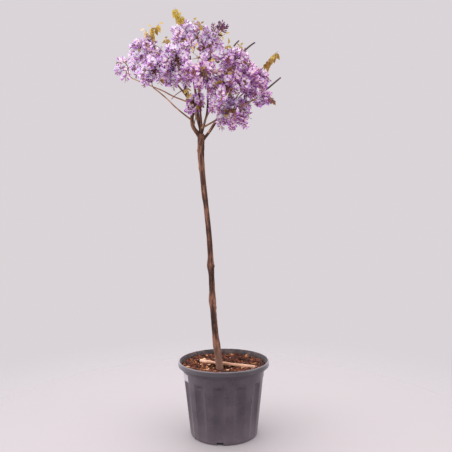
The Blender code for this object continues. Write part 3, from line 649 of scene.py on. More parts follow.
# %% The bed
CLEAR = 0.0003
SOIL_BELOW_RIM = 0.0125
SOIL_HOLLOW = 0.0105
SOIL_HOLLOW_RADIUS = 0.055
SOIL_RELIEF = 0.0016
SOIL_EDGE = SHOULDER_RADIUS - WALL - 2.5 * CLEAR
BED_SINK = 0.0050
CRUMB_SINK = 0.0014
CRUMB_RELIEF = 0.0013
TRUNK_FOOT = Vector((-0.0125, -0.045, 0.217))


def soil_height(x, y):
    """The packed soil's uneven top: hollowed round the stem, with a low relief."""
    off = math.hypot(x - TRUNK_FOOT.x, y - TRUNK_FOOT.y)
    hollow = SOIL_HOLLOW * math.exp(-((off / SOIL_HOLLOW_RADIUS) ** 2))
    relief = math.sin(97 * x + 2) * math.cos(113 * y) + 0.6 * math.sin(171 * (x + y))
    away = min(1, off / SOIL_HOLLOW_RADIUS) * (1 - min(1, math.hypot(x, y) / SOIL_EDGE) ** 6)
    return POT_HEIGHT - SOIL_BELOW_RIM - hollow + SOIL_RELIEF * relief * away


def bed_height(x, y):
    """The top of the dressed bed, a little lower at the back, where it has settled."""
    return soil_height(x, y) - BED_SINK * eased((y + 0.05) / 0.15)


def make_bed():
    inside = WALL + 2 * CLEAR
    top = POT_HEIGHT - SOIL_BELOW_RIM
    section = [(SOIL_EDGE * share, top) for share in np.linspace(0, 1, 56)]
    section += [(body_radius(BODY_TOP) - inside, BODY_TOP),
                (body_radius(FLUTE_TOP) - inside - FLUTE_DEPTH, FLUTE_TOP - 0.01),
                (body_radius(0) - inside - FLUTE_DEPTH, FLOOR_THICKNESS + CLEAR),
                (0, FLOOR_THICKNESS + CLEAR)]
    shape = spun(section, 180, closed=False)
    for vertex in shape.verts:
        if vertex.co.z > top - 0.001:
            x, y = vertex.co.x, vertex.co.y
            coarse = noise.noise(Vector((x * 160, y * 160, 3)))
            fine = noise.noise(Vector((x * 420, y * 420, 7)))
            vertex.co.z = bed_height(x, y) - CRUMB_SINK + CRUMB_RELIEF * (coarse + 0.5 * fine)
    return bmesh_to_mesh(shape, "mulch_bed")


def earth_finish(name, dark, pale, scale):
    return mottled_finish(name, 0.92, scale, [(0, dark), (1, pale)], (0.32, 0.68), specular=0.2,
                          bump=(3 * scale, 0.25, 0.75, 0.0008, 0.7))


bed_finish = earth_finish("damp_bed", tint(26, 17, 14), tint(66, 42, 31), 130)
add_piece("mulch_bed", make_bed(), [bed_finish], ["soil"], 40)

# %% The chips
# Name, how many are tried, the two colours, and how much scarcer the chips are towards the back right, where
# fewer pale ones give painted shade
CHIP_TONES = (("chips_dark", 1380, tint(62, 36, 27), tint(35, 21, 17), 0.0),
              ("chips_red", 1140, tint(104, 49, 30), tint(64, 32, 22), 0.15),
              ("chips_brown", 900, tint(119, 67, 40), tint(73, 40, 25), 0.45),
              ("chips_tan", 420, tint(175, 117, 70), tint(119, 73, 44), 0.6),
              ("chips_pale", 132, tint(216, 175, 138), tint(174, 127, 90), 0.6))
CHIP_KINDS = 5
CHIP_LENGTH = (0.0045, 0.0230)
CHIP_MARGIN = 0.004
STEM_ROOM = 0.011
STICK_ROOM = 0.0035
STICK_CENTRE = Vector((0.011, -0.027))
STICK_TURN = math.radians(-23)
STICK_LENGTH = 0.196


def chip_blank(kind):
    """A broken flake: a cube cut finer, knocked about and tapered to one end."""
    shape = bmesh.new()
    bmesh.ops.create_cube(shape, size=2)
    bmesh.ops.subdivide_edges(shape, edges=shape.edges, cuts=1, use_grid_fill=True)
    rng = Random(f"chip {kind}")
    for vertex in shape.verts:
        taper = 1 - 0.35 * (vertex.co.x + 1) / 2 * rng.uniform(0.4, 1.3)
        knock = Vector((rng.uniform(-0.2, 0.2), rng.uniform(-0.24, 0.24), rng.uniform(-0.3, 0.3)))
        vertex.co = Vector((vertex.co.x, vertex.co.y * taper, vertex.co.z * taper)) + knock
    bmesh.ops.smooth_vert(shape, verts=shape.verts, factor=0.25,
                          use_axis_x=True, use_axis_y=True, use_axis_z=True)
    return blank_of(shape)


def off_stick(x, y):
    """How far this place lies from the middle line of the fallen stick."""
    along = Vector((math.cos(STICK_TURN), math.sin(STICK_TURN)))
    way = Vector((x, y)) - STICK_CENTRE
    reach = max(-STICK_LENGTH / 2, min(STICK_LENGTH / 2, way.dot(along)))
    return (way - along * reach).length


def chip_matrix(rng, back_right_shade):
    """One chip's place, tilt and size, or None where the stem or the stick lies, or where painted shade at the
    back right leaves it out.
    """
    radius = (SOIL_EDGE - CHIP_MARGIN) * math.sqrt(rng.random())
    angle = rng.uniform(0, 2 * math.pi)
    x, y = radius * math.cos(angle), radius * math.sin(angle)
    if rng.random() < back_right_shade * eased((x + 0.5 * y + 0.06) / 0.16):
        return None
    long = CHIP_LENGTH[0] + (CHIP_LENGTH[1] - CHIP_LENGTH[0]) * rng.random() ** 2.0
    room = min(SOIL_EDGE - radius, math.hypot(x - TRUNK_FOOT.x, y - TRUNK_FOOT.y) - STEM_ROOM)
    if room < 0.3 * long or off_stick(x, y) < STICK_ROOM + 0.4 * long:
        return None
    size = Vector((long, long * rng.uniform(0.3, 0.65), long * rng.uniform(0.12, 0.28))) * 0.5
    lift = 0.45 * size.z + rng.uniform(-0.0012, 0.003)
    turn = Matrix.Rotation(rng.uniform(0, 2 * math.pi), 4, "Z") @ Matrix.Rotation(rng.gauss(0, 0.32), 4, "X")
    turn = turn @ Matrix.Rotation(rng.gauss(0, 0.26), 4, "Y")
    return Matrix.Translation((x, y, bed_height(x, y) + lift)) @ turn @ Matrix.Diagonal((*size, 1))


CHIP_BLANKS = [chip_blank(kind) for kind in range(CHIP_KINDS)]
for chip_name, chip_count, chip_pale, chip_dark, back_right_shade in CHIP_TONES:
    chip_rng = Random(chip_name)
    lying = [chip_matrix(chip_rng, back_right_shade) for _ in range(chip_count)]
    lying = [matrix for matrix in lying if matrix]
    spread_out = [copies(blank, lying[kind::CHIP_KINDS]) for kind, blank in enumerate(CHIP_BLANKS)]
    chip_finish = earth_finish(chip_name, chip_dark, chip_pale, 260)
    add_piece(chip_name, mesh_of(chip_name, spread_out), [chip_finish], (), 35)

# %% [markdown]
# ## Limbs: one blank tube, wrapped along any line
# The stem, every bough and the finest twig are the same thing at different sizes: a round rod
# that follows a bent line and tapers. So one tube blank is cut into rings, and each ring is carried
# to its place on a smoothed line. Where a vertex sits on the unbent rod is kept as an attribute,
# because bark is streaked along the limb, not along the room's axes.

# %% Wrapping a tube
COLLAR_LENGTH = 0.014


def tube_blank(sides, rings):
    """A capped rod of radius one, from height zero to one."""
    shape = bmesh.new()
    bmesh.ops.create_cone(shape, cap_ends=True, segments=sides, radius1=1, radius2=1, depth=1,
                          matrix=Matrix.Translation((0, 0, 0.5)))
    upright = [edge for edge in shape.edges if abs(edge.verts[0].co.z - edge.verts[1].co.z) > 0.5]
    bmesh.ops.subdivide_edges(shape, edges=upright, cuts=rings - 1)
    return blank_of(shape)


def smooth_line(points, radii, count):
    """Evenly spaced points and radii on the smooth line through the given ones."""
    points = np.array([tuple(point) for point in points], float)
    values = np.column_stack([points, radii])
    ends = np.vstack([2 * values[0] - values[1], values, 2 * values[-1] - values[-2]])
    place = np.concatenate([[0], np.cumsum(np.linalg.norm(np.diff(points, axis=0), axis=1))])
    wanted = np.linspace(0, place[-1], count)
    number = np.clip(np.searchsorted(place, wanted, side="right") - 1, 0, len(points) - 2)
    share = ((wanted - place[number]) / (place[number + 1] - place[number]))[:, None]
    a, b, c, d = (ends[number + offset] for offset in range(4))
    line = 0.5 * (2 * b + (c - a) * share + (2 * a - 5 * b + 4 * c - d) * share**2
                  + (3 * b - 3 * c + d - a) * share**3)
    return line[:, :3], line[:, 3], place[-1]


def carried_frames(line):
    """Two directions across the line at each point, turned as little as the bends allow."""
    ahead = np.gradient(line, axis=0)
    ahead /= np.linalg.norm(ahead, axis=1)[:, None]
    first = np.cross(ahead[0], (0.31, 0.95, 0.05))
    rights = [first / np.linalg.norm(first)]
    for way in ahead[1:]:
        right = rights[-1] - way * np.dot(rights[-1], way)
        rights.append(right / np.linalg.norm(right))
    rights = np.array(rights)
    return rights, np.cross(ahead, rights)


def wrapped(blank, points, radii, count, collar=0.0):
    """The tube blank wrapped along the line, and where its points lie on the unbent limb."""
    line, thick, length = smooth_line(points, radii, count)
    rights, ups = carried_frames(line)
    share = blank.points[:, 2]
    place = share * (count - 1)
    low = np.clip(place.astype(int), 0, count - 2)
    part = (place - low)[:, None]
    blend = lambda values: values[low] * (1 - part) + values[low + 1] * part
    radius = blend(thick[:, None]) * (1 + collar * np.exp(-((share[:, None] * length / COLLAR_LENGTH) ** 2)))
    sides = blank.points[:, :2] * radius
    made = blend(line) + sides[:, :1] * blend(rights) + sides[:, 1:] * blend(ups)
    unbent = np.column_stack([sides, share * length])
    return blank._replace(points=made), unbent


# %% [markdown]
# ## The lines of the stem and boughs
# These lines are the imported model's own rule, written again: the stem bows a little and swells at
# its knots, foot and fork, and each bough leaves its parent at a share of its length and bends
# once over an elbow.

# %% The stem's line
TRUNK_FORK = Vector((-0.0700, -0.010, 0.990))
TRUNK_BOW = 0.006
TRUNK_BOW_AT = 0.22
TRUNK_BOW_SPAN = 0.68
FLARE_RADIUS = 0.0122
FLARE_HEIGHT = 0.045
FOOT_HEIGHT = 0.004
BASE_RADIUS = 0.0105
WAIST_RADIUS = 0.0082
FORK_RADIUS = 0.0115
FORK_SWELL = 0.11
TRUNK_RINGS = 27
KNOTS = ((0.30, 0.0015), (0.445, 0.0022), (0.56, 0.0026), (0.80, 0.0014))
KNOT_HEIGHT = 0.018
BOUGH_STEP = 0.034
BOUGH_SWAY = 0.012


def trunk_path():
    points, radii = [], []
    length = (TRUNK_FORK - TRUNK_FOOT).length
    heights = [0.0, FOOT_HEIGHT] + [length * (n + 1) / TRUNK_RINGS for n in range(TRUNK_RINGS)]
    for height in heights:
        share = height / length
        place = TRUNK_FOOT.lerp(TRUNK_FORK, share)
        ease = min(1, 7 * share, 12 * (1 - share))
        place.x -= TRUNK_BOW * ease * math.cos(math.pi * (share - TRUNK_BOW_AT) / TRUNK_BOW_SPAN) ** 2
        place.y += TRUNK_BOW * ease * math.sin(2 * math.pi * share)
        if height == FOOT_HEIGHT:
            place.x, place.y = TRUNK_FOOT.x, TRUNK_FOOT.y
        radius = BASE_RADIUS + (WAIST_RADIUS - BASE_RADIUS) * min(1, share / 0.7)
        radius += (FLARE_RADIUS - BASE_RADIUS) * math.exp(-((height / FLARE_HEIGHT) ** 1.2))
        radius += (FORK_RADIUS - WAIST_RADIUS) * math.exp(-(((length - height) / FORK_SWELL) ** 2))
        for knot, swell in KNOTS:
            bulge = swell * math.exp(-(((place.z - knot) / KNOT_HEIGHT) ** 2))
            radius += bulge
            place.x -= 0.5 * bulge
        points.append(place)
        radii.append(radius)
    crown = (points[-1] - points[-2]).normalized()
    points += [points[-1] + crown * 0.006, points[-1] + crown * 0.010]
    radii += [FORK_RADIUS * 0.86, FORK_RADIUS * 0.4]
    return points, radii


# %% The boughs' lines
Bough = namedtuple("Bough", "name parent at elbow tip foot_radius tip_radius")
BOUGHS = [Bough(*row) for row in (
    ("left_bough", "trunk", 0.985, (-0.110, -0.016, 1.074), (-0.128, -0.074, 1.172), 0.0066, 0.0042),
    ("leader", "trunk", 0.99, (-0.085, 0.006, 1.110), (-0.108, 0.003, 1.272), 0.0058, 0.0034),
    ("right_bough", "trunk", 0.965, (-0.007, -0.022, 1.034), (0.045, -0.018, 1.178), 0.0056, 0.0036),
    ("rear_bough", "trunk", 0.985, (-0.047, 0.044, 1.080), (-0.039, 0.050, 1.262), 0.0046, 0.0032),
    ("front_bough", "trunk", 0.99, (-0.065, -0.044, 1.060), (-0.072, -0.112, 1.112), 0.0042, 0.0030),
    ("rear_left_bough", "trunk", 0.955, (-0.066, 0.068, 1.100), (-0.197, 0.118, 1.232), 0.0052, 0.0034),
    ("long_right_shoot", "leader", 0.08, (-0.015, -0.075, 1.029), (0.111, -0.080, 1.093), 0.0036, 0.0026),
    ("low_left_shoot", "left_bough", 0.30, (-0.165, -0.040, 1.108), (-0.218, -0.072, 1.136), 0.0030, 0.0022),
    ("far_left_shoot", "left_bough", 0.58, (-0.185, -0.022, 1.138), (-0.291, -0.014, 1.184), 0.0030, 0.0020),
    ("upper_left_shoot", "left_bough", 0.93, (-0.151, -0.020, 1.240), (-0.217, 0.022, 1.278), 0.0034, 0.0024),
    ("right_side_shoot", "right_bough", 0.62, (0.053, 0.000, 1.112), (0.081, 0.020, 1.148), 0.0032, 0.0024),
    ("mid_right_shoot", "right_bough", 0.50, (0.033, -0.052, 1.090), (0.051, -0.062, 1.112), 0.0030, 0.0022),
    ("low_right_shoot", "right_bough", 0.14, (-0.029, -0.034, 1.034), (-0.007, -0.044, 1.041), 0.0026, 0.0020),
    ("low_front_shoot", "front_bough", 0.16, (-0.045, -0.060, 1.052), (-0.025, -0.094, 1.082), 0.0026, 0.0019),
    ("rear_middle_shoot", "leader", 0.36, (-0.077, 0.070, 1.150), (-0.075, 0.104, 1.238), 0.0034, 0.0026),
    ("rear_right_shoot", "rear_bough", 0.40, (-0.003, 0.080, 1.120), (0.039, 0.114, 1.190), 0.0034, 0.0026),
    ("sprig_shoot", "left_bough", 0.20, (-0.087, -0.044, 1.040), (-0.085, -0.052, 1.048), 0.0020, 0.0016),
    ("bare_twig", "left_bough", 0.80, (-0.141, -0.068, 1.126), (-0.162, -0.072, 1.100), 0.0018, 0.0012),
)]


# Where a bough sways from its plain bend: (share of its length, shift along X and Z, share that it takes)
BENDS = {"left_bough": ((0.22, (-0.012, 0), 0.14), (0.58, (0.011, 0), 0.14), (0.88, (0.004, 0), 0.12)),
         "low_left_shoot": ((0.40, (-0.003, -0.008), 0.28),),
         "long_right_shoot": ((0.55, (0, 0.006), 0.28), (1.0, (0, 0.006), 0.25)),
         "far_left_shoot": ((0.35, (-0.002, -0.004), 0.30), (1.0, (-0.004, -0.002), 0.25))}
SLIMMER = defaultdict(lambda: 0.86, left_bough=1.04)


def along_path(points, share):
    """The point at this share of a line's length."""
    lengths = [(b - a).length for a, b in zip(points, points[1:])]
    want = share * sum(lengths)
    for start, end, length in zip(points, points[1:], lengths):
        if want <= length:
            return start.lerp(end, want / length)
        want -= length
    return points[-1].copy()


def arc(start, middle, end, steps):
    """Points on the smooth bend that leaves start towards middle and arrives at end from it."""
    found = []
    for number in range(steps + 1):
        share = number / steps
        found.append(start.lerp(middle, share).lerp(middle.lerp(end, share), share))
    return found


def bough_path(bough, lines):
    start = along_path(lines[bough.parent][0], bough.at)
    rng = Random(bough.name)
    length = (Vector(bough.tip) - start).length
    steps = max(4, round(length / BOUGH_STEP))
    points = arc(start, Vector(bough.elbow), Vector(bough.tip), steps)
    side = (Vector(bough.tip) - start).cross(Vector((0, 0, 1))).normalized()
    phase, sway = rng.uniform(0, 6), BOUGH_SWAY * length
    radii = []
    for number, point in enumerate(points):
        share = number / steps
        point += side * sway * math.sin(math.pi * share) * math.sin(phase + 9 * share)
        point.z += 0.5 * sway * math.sin(math.pi * share) * math.cos(phase + 11 * share)
        for at, (across, up), span in BENDS.get(bough.name, ()):
            point += Vector((across, 0, up)) * math.exp(-(((share - at) / span) ** 2))
        radius = bough.foot_radius + (bough.tip_radius - bough.foot_radius) * share
        radii.append(SLIMMER[bough.name] * radius)
    return points, radii


LINES = {"trunk": trunk_path()}
for bough in BOUGHS:
    LINES[bough.name] = bough_path(bough, LINES)
print("limbs:", len(LINES), "longest line:", max(len(points) for points, _ in LINES.values()), "points")

# %% [markdown]
# ## Bark
# Young wisteria bark is drawn out lengthwise in low, uneven ridges, with a slight twist, because
# the plant is a climber. Noise that is stretched along the limb raises the ridges. Every few
# centimetres an old bud leaves a swelling on one side. All of this is in the mesh, and the
# material's bump only adds the finest cracks.

# %% Relief in the mesh
RIDGE_HEIGHT = 0.055
RIDGE_SCALE = (2.6, 26)
FINE_HEIGHT = 0.022
FINE_SCALE = (7, 85)
TWIST = 2.2
BUD_SPACING = 0.062
BUD_SWELL = 0.16


def bark_relief(unbent, radius_scale, seed):
    """How far each point of a limb stands out, as a share of the limb's radius."""
    rng = Random(f"buds {seed}")
    length = unbent[:, 2].max()
    buds = [(BUD_SPACING * (n + rng.uniform(0.2, 0.8)), rng.uniform(-math.pi, math.pi))
            for n in range(int(length / BUD_SPACING))]
    angles = np.arctan2(unbent[:, 1], unbent[:, 0])
    stand = np.zeros(len(unbent))
    for place, angle in buds:
        off = np.angle(np.exp(1j * (angles - angle)))
        along = (unbent[:, 2] - place) / (0.5 * radius_scale)
        stand += BUD_SWELL * np.exp(-(along**2) - (off / 0.6) ** 2)
    for number, (x, y, z) in enumerate(unbent):
        turn = TWIST * z
        u = (x * math.cos(turn) - y * math.sin(turn)) / radius_scale
        v = (x * math.sin(turn) + y * math.cos(turn)) / radius_scale
        ridge = noise.noise(Vector((RIDGE_SCALE[0] * u, RIDGE_SCALE[0] * v, RIDGE_SCALE[1] * z + seed)))
        fine = noise.noise(Vector((FINE_SCALE[0] * u, FINE_SCALE[0] * v, FINE_SCALE[1] * z + seed + 40)))
        stand[number] += RIDGE_HEIGHT * (1 - 2 * abs(ridge)) + FINE_HEIGHT * fine
    return stand


def limb(name, sides, spacing, collar=0.0):
    """A limb's mesh arrays with its bark in relief, and the attribute that bark patterns read."""
    points, radii = LINES[name]
    length = sum((b - a).length for a, b in zip(points, points[1:]))
    count = max(12, round(length / spacing))
    body, unbent = wrapped(tube_blank(sides, count - 1), points, radii, count, collar)
    plain, _ = wrapped(tube_blank(sides, count - 1), points, [0.0] * len(radii), count)
    seed = sum(ord(letter) for letter in name) % 97
    stand = bark_relief(unbent, float(np.mean(radii)), seed)
    relieved = plain.points + (body.points - plain.points) * (1 + stand)[:, None]
    return body._replace(points=relieved), unbent + np.array([0, 0, seed * 0.37])


def limb_mesh(name, made):
    """One mesh of wrapped limbs. Each point keeps its place on the unbent limb."""
    mesh = mesh_of(name, [body for body, _ in made])
    unbent = np.concatenate([unbent for _, unbent in made]).astype(np.float32)
    mesh.attributes.new("limb", "FLOAT_VECTOR", "POINT").data.foreach_set("vector", unbent.ravel())
    return mesh


def add_limbs(name, parts, finish):
    """One piece of several limbs, each given as (name, sides, ring spacing, collar)."""
    mesh = limb_mesh(name, [limb(*part) for part in parts])
    add_piece(name, mesh, [finish], [part[0] for part in parts], 60)


# %% Bark in the material
SPLASH_AND_LIGHT_TOP = 0.325
SPLASH_AND_LIGHT_TONE = tint(129, 97, 82)


def bark_finish(name, dark, middle, pale, roughness, splash_and_light=0.0):
    """Streaky bark. Low on the stem it is paler and greyer: partly soil splashed up by rain, partly painted
    light against the shade inside the pot.
    """
    finish, tree, shader = new_finish(name, roughness, 0.22)
    place = add_node(tree, "ShaderNodeAttribute", {"attribute_name": "limb"}).outputs["Vector"]
    streaks = add_mottle(tree, place, 170, 0.30, 0.70, (1, 1, 0.16))
    patches = add_product(tree, add_mottle(tree, place, 26, 0.35, 0.65, (1, 1, 0.7)), 0.38)
    both = add_node(tree, "ShaderNodeMath", {"operation": "MULTIPLY_ADD"}, {0: streaks, 1: 0.62, 2: patches})
    colour = add_ramp(tree, both.outputs["Value"], [(0.1, dark), (0.5, middle), (0.92, pale)])
    flecks = add_mottle(tree, place, 520, 0.66, 0.74, (1, 1, 2.2))
    height = add_node(tree, "ShaderNodeSeparateXYZ", {}, {"Vector": object_place(tree)}).outputs["Z"]
    # Paler and greyer low on the stem: splashed soil and painted light together.
    soil = add_range(tree, height, SPLASH_AND_LIGHT_TOP, POT_HEIGHT - SOIL_BELOW_RIM, 0, splash_and_light, smooth=True)
    colour = add_layer(tree, soil, add_layer(tree, flecks, colour, pale), SPLASH_AND_LIGHT_TONE)
    tree.links.new(colour, shader.inputs["Base Color"])
    add_bump(tree, shader, add_mottle(tree, place, 620, 0.3, 0.7, (1, 1, 0.2)), 0.0006, 0.8)
    return finish


old_bark = bark_finish("old_bark", tint(27, 15, 12), tint(65, 39, 29), tint(121, 84, 66), 0.82, 0.6)
shoot_bark = bark_finish("shoot_bark", tint(92, 62, 48), tint(148, 108, 82), tint(188, 150, 120), 0.7)
shaded_bark = bark_finish("shaded_bark", tint(66, 45, 34), tint(110, 77, 57), tint(150, 114, 90), 0.7)

young = [bough.name for bough in BOUGHS if bough.foot_radius < 0.004]
old = [bough.name for bough in BOUGHS if bough.name not in young]
# The sunny shoots take paler bark than the shaded ones: lit and shaded copies of one bark, as painted light
# and shade.
sunny = [name for name in young if "left" in name or name == "low_right_shoot"]
shaded = [name for name in young if name not in sunny]
add_limbs("stem_and_boughs", [("trunk", 40, 0.0019)] + [(name, 24, 0.0024, 0.5) for name in old],
          old_bark)
add_limbs("young_shoots", [(name, 14, 0.0026, 0.45) for name in sunny], shoot_bark)
add_limbs("shaded_shoots", [(name, 14, 0.0026, 0.45) for name in shaded], shaded_bark)

# %% [markdown]
# ## The fallen stick
# A piece of peeled wood lies across the mulch. It is a limb like the others, paler and smoother.
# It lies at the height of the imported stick, which is read from that node's box.

# %% The stick
STICK_RADIUS = 0.0060
STICK_POINTS = 9
STICK_BEND = 0.0012


def stick_line():
    low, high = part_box("fallen_stick")
    along = Vector((math.cos(STICK_TURN), math.sin(STICK_TURN), 0))
    across = Vector((-along.y, along.x, 0))
    points, radii = [], []
    for number in range(STICK_POINTS):
        way = (number / (STICK_POINTS - 1) - 0.5) * STICK_LENGTH
        points.append(Vector((*STICK_CENTRE, (low.z + high.z) / 2)) + along * way
                      + across * STICK_BEND * math.sin(1.9 * number))
        radii.append(STICK_RADIUS * (0.86 + 0.14 * math.sin(2.3 * number)))
    return points, radii


LINES["fallen_stick"] = stick_line()
peeled = bark_finish("peeled_wood", tint(150, 109, 82), tint(186, 146, 120), tint(207, 173, 148), 0.68)
add_limbs("peeled_stick", [("fallen_stick", 24, 0.0016)], peeled)

# %% [markdown]
# ## One flower
# A wisteria flower is a pea flower. A broad standard petal stands up and curls back, two wings
# reach forward, and between them lies a narrow keel. A small cup holds them on a thin stalk.
# Thousands are needed, so each petal is a small grid pushed into shape, a few dozen faces in all.
# Sizes are in millimetres here, with the stalk's root at the origin and the flower facing +Z.

# %% Petal blanks
STALK = 9.0
CUP = 4.0
STANDARD_LENGTH = 17.5
STANDARD_WIDTH = 9.0
WING_LENGTH = 13.0
KEEL_LENGTH = 12.5


def shaped_grid(columns, rows, form):
    """A grid whose points (u from -1 to 1, v from 0 to 1) are moved by the form."""
    shape = bmesh.new()
    bmesh.ops.create_grid(shape, x_segments=columns, y_segments=rows, size=1)
    for vertex in shape.verts:
        vertex.co = form(vertex.co.x, (vertex.co.y + 1) / 2)
    return shape


def standard_form(lean, curl):
    """The upright petal: it leaves the cup at the lean angle and curls back along its length."""
    def form(u, v):
        width = STANDARD_WIDTH * math.sin(math.pi * (0.07 + 0.73 * v))
        reach = v * (1 - 0.17 * u * u * v) - 0.05 * max(0, 1 - 2.2 * abs(u)) * v**6
        angle = lean + curl * reach
        up = STANDARD_LENGTH * (math.cos(lean) - math.cos(angle)) / curl
        out = STANDARD_LENGTH * (math.sin(angle) - math.sin(lean)) / curl
        back = 2.6 * u * u * v + 0.9 * math.sin(5 * u + 3 * v) * u * u * v
        crease = 0.9 * (1 - min(1, 3 * abs(u))) * (1 - v)
        return Vector((u * width, 1.4 + up - 0.4 * back, STALK + CUP - 1.2 + out - back + crease))
    return form


def wing_form(side, droop):
    def form(u, v):
        width = 3.6 * math.sin(math.pi * (0.16 + 0.72 * v))
        x = side * (1.3 + 2.4 * math.sin(math.pi * 0.8 * v) + 0.5 * (1 - u * u))
        z = STALK + CUP - 1.0 + WING_LENGTH * v * (1 - 0.06 * u)
        return Vector((x, 0.2 - droop * v * v + u * width, z))
    return form


def keel_form(u, v):
    depth = 3.4 * math.sin(math.pi * (0.12 + 0.76 * v))
    return Vector((1.7 * u * math.sin(math.pi * (0.2 + 0.7 * v)), -0.6 - depth * (1 - abs(u)) + 2.6 * v * v,
                   STALK + CUP - 1.0 + KEEL_LENGTH * v))


def standard_blank(lean, curl):
    shape = shaped_grid(4, 4, standard_form(math.radians(lean), math.radians(curl)))
    foot = STALK + CUP - 1.2
    for face in shape.faces:
        middle = face.calc_center_median()
        near = abs(middle.x) < 3.4 and (middle - Vector((0, 1.4, foot))).length < 7.5
        face.material_index = 1 if near else 0
    return blank_of(shape)


def wings_blank(droop):
    shape = shaped_grid(2, 3, wing_form(1, droop))
    other = shaped_grid(2, 3, wing_form(-1, droop))
    mesh = bmesh_to_mesh(other, "other_wing")
    shape.from_mesh(mesh)
    bpy.data.meshes.remove(mesh)
    return blank_of(shape)


def stalk_blank(length, cup):
    """The thin stalk and the cup that holds the petals."""
    shape = bmesh.new()
    bmesh.ops.create_cone(shape, segments=3, radius1=0.90, radius2=0.75, depth=length + 0.6,
                          matrix=Matrix.Translation((0, 0, length / 2)))
    bmesh.ops.create_cone(shape, segments=5, radius1=0.8, radius2=2.5 * cup, depth=CUP * cup,
                          matrix=Matrix.Translation((0, 0, length + CUP * cup / 2)))
    return blank_of(shape)


def bud_blank(length, width, stalk):
    """A closed, slightly hooked bud."""
    shape = bmesh.new()
    bmesh.ops.create_uvsphere(shape, u_segments=5, v_segments=4, radius=1)
    for vertex in shape.verts:
        along = (vertex.co.z + 1) / 2
        wide = width * (0.75 + 0.5 * along)
        vertex.co = Vector((vertex.co.x * wide * 0.8, vertex.co.y * wide + 1.8 * along * along,
                            stalk + 1.6 + length * along))
    return blank_of(shape)


BLANKS = {
    "standard_wide": standard_blank(38, 88),
    "standard_half": standard_blank(30, 52),
    "wings_wide": wings_blank(3.2),
    "wings_half": wings_blank(1.4),
    "keel": blank_of(shaped_grid(2, 2, keel_form)),
    "stalk": stalk_blank(STALK, 1.0),
    "bud": bud_blank(12.0, 2.5, 7.0),
    "bud_stalk": stalk_blank(7.0, 0.8),
    "young_bud": bud_blank(7.5, 1.7, 4.5),
    "young_bud_stalk": stalk_blank(4.5, 0.6),
}
open_flower = ("standard_wide", "wings_wide", "keel", "stalk")
print("faces in an open flower:", sum(len(BLANKS[name].starts) for name in open_flower))

# %% [markdown]
# ## The crown's rule
# The crown is built of masses of blossom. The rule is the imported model's own: a stem carries on
# from a bough's tip to the middle of its mass, and racemes arch out and down from there, spread
# evenly over all directions by the golden angle. Here each mass gets more racemes and each raceme
# far more flowers, real in size, within about the same reach. Some racemes at the edges and gaps
# are given one by one, because there each one shows.

# %% Masses
GOLDEN_ANGLE = math.pi * (3 - math.sqrt(5))
RACEME_REACH = 0.90
ARCH = 0.8
STEM_TOP = 0.12
STEM_OVERLAP = 0.002
STEM_LEAD = 0.022
RACHIS_STEPS = 5
# Limit: how far a flower may go from the centre, in reaches. Shade and age are shifts of its tone
# and its opening, the shade being more or less painted shade, and leaves are the small ones among the flowers.
Mass = namedtuple("Mass", "name bough centre reach racemes flowers limit shade age leaves",
                  defaults=[1.16, 0, 0, 11])
MASSES = {name: Mass(name + "_blossom", *rest) for name, *rest in (
    ("far_left", "far_left_shoot", (-0.311, -0.010, 1.211), (0.056, 0.058, 0.057), 3, 13, 1.0, 0.50, 0.08, 0),
    ("upper_left", "upper_left_shoot", (-0.261, 0.035, 1.284), (0.062, 0.064, 0.058), 9, 30, 1.02, 0.06, 0, 3),
    ("low_left", "low_left_shoot", (-0.206, -0.088, 1.182), (0.066, 0.062, 0.058), 10, 34, 1.16, 0, 0, 6),
    ("mid_left", "left_bough", (-0.141, -0.092, 1.212), (0.062, 0.062, 0.066), 11, 38, 1.16, 0, 0, 8),
    ("top", "leader", (-0.117, -0.002, 1.315), (0.063, 0.066, 0.060), 9, 30, 1.16, 0, 0, 6),
    ("top_right", "rear_bough", (-0.038, 0.050, 1.310), (0.057, 0.060, 0.058), 9, 30, 0.92, -0.06),
    ("front", "front_bough", (-0.073, -0.150, 1.166), (0.058, 0.056, 0.060), 9, 38),
    ("upper_right", "right_bough", (0.042, -0.022, 1.230), (0.064, 0.064, 0.056), 11, 38, 1.06),
    ("right", "right_side_shoot", (0.111, 0.036, 1.180), (0.060, 0.062, 0.061), 11, 38, 1.0),
    ("mid_right", "mid_right_shoot", (0.075, -0.072, 1.152), (0.060, 0.056, 0.056), 10, 42),
    ("low_right", "low_right_shoot", (0.034, -0.044, 1.057), (0.066, 0.062, 0.061), 11, 48, 1.16, -0.42, 0.15),
    ("low_front", "low_front_shoot", (-0.001, -0.126, 1.116), (0.054, 0.052, 0.058), 9, 38, 1.16, 0, 0.08),
    ("sprig", "sprig_shoot", (-0.083, -0.066, 1.084), (0.037, 0.037, 0.041), 4, 38, 1.16, 0, 0.1),
    ("right_tip", "long_right_shoot", (0.139, -0.076, 1.099), (0.038, 0.038, 0.036), 4, 38, 0.95, 0.15, 0.36),
    ("rear_left", "rear_left_bough", (-0.225, 0.150, 1.270), (0.070, 0.066, 0.066), 11, 38, 1.16, 0, 0, 5),
    ("rear_middle", "rear_middle_shoot", (-0.085, 0.150, 1.290), (0.074, 0.066, 0.066), 11, 38),
    ("rear_right", "rear_right_shoot", (0.059, 0.150, 1.240), (0.072, 0.068, 0.066), 11, 38),
)}
# Openings through which the wall is seen: middle and reach, in the upright plane through the axis
OPENINGS = (((-0.0897, 1.2557), (0.0200, 0.0270)), ((0.0390, 1.0907), (0.0074, 0.0100)),
            ((0.0941, 1.0588), (0.0100, 0.0107)), ((0.0955, 1.2583), (0.0087, 0.0134)),
            ((0.1254, 1.2215), (0.0084, 0.0067)), ((0.1717, 1.1292), (0.0074, 0.0100)),
            ((-0.2134, 1.2969), (0.0074, 0.0134)), ((-0.2096, 1.1728), (0.0107, 0.0067)))
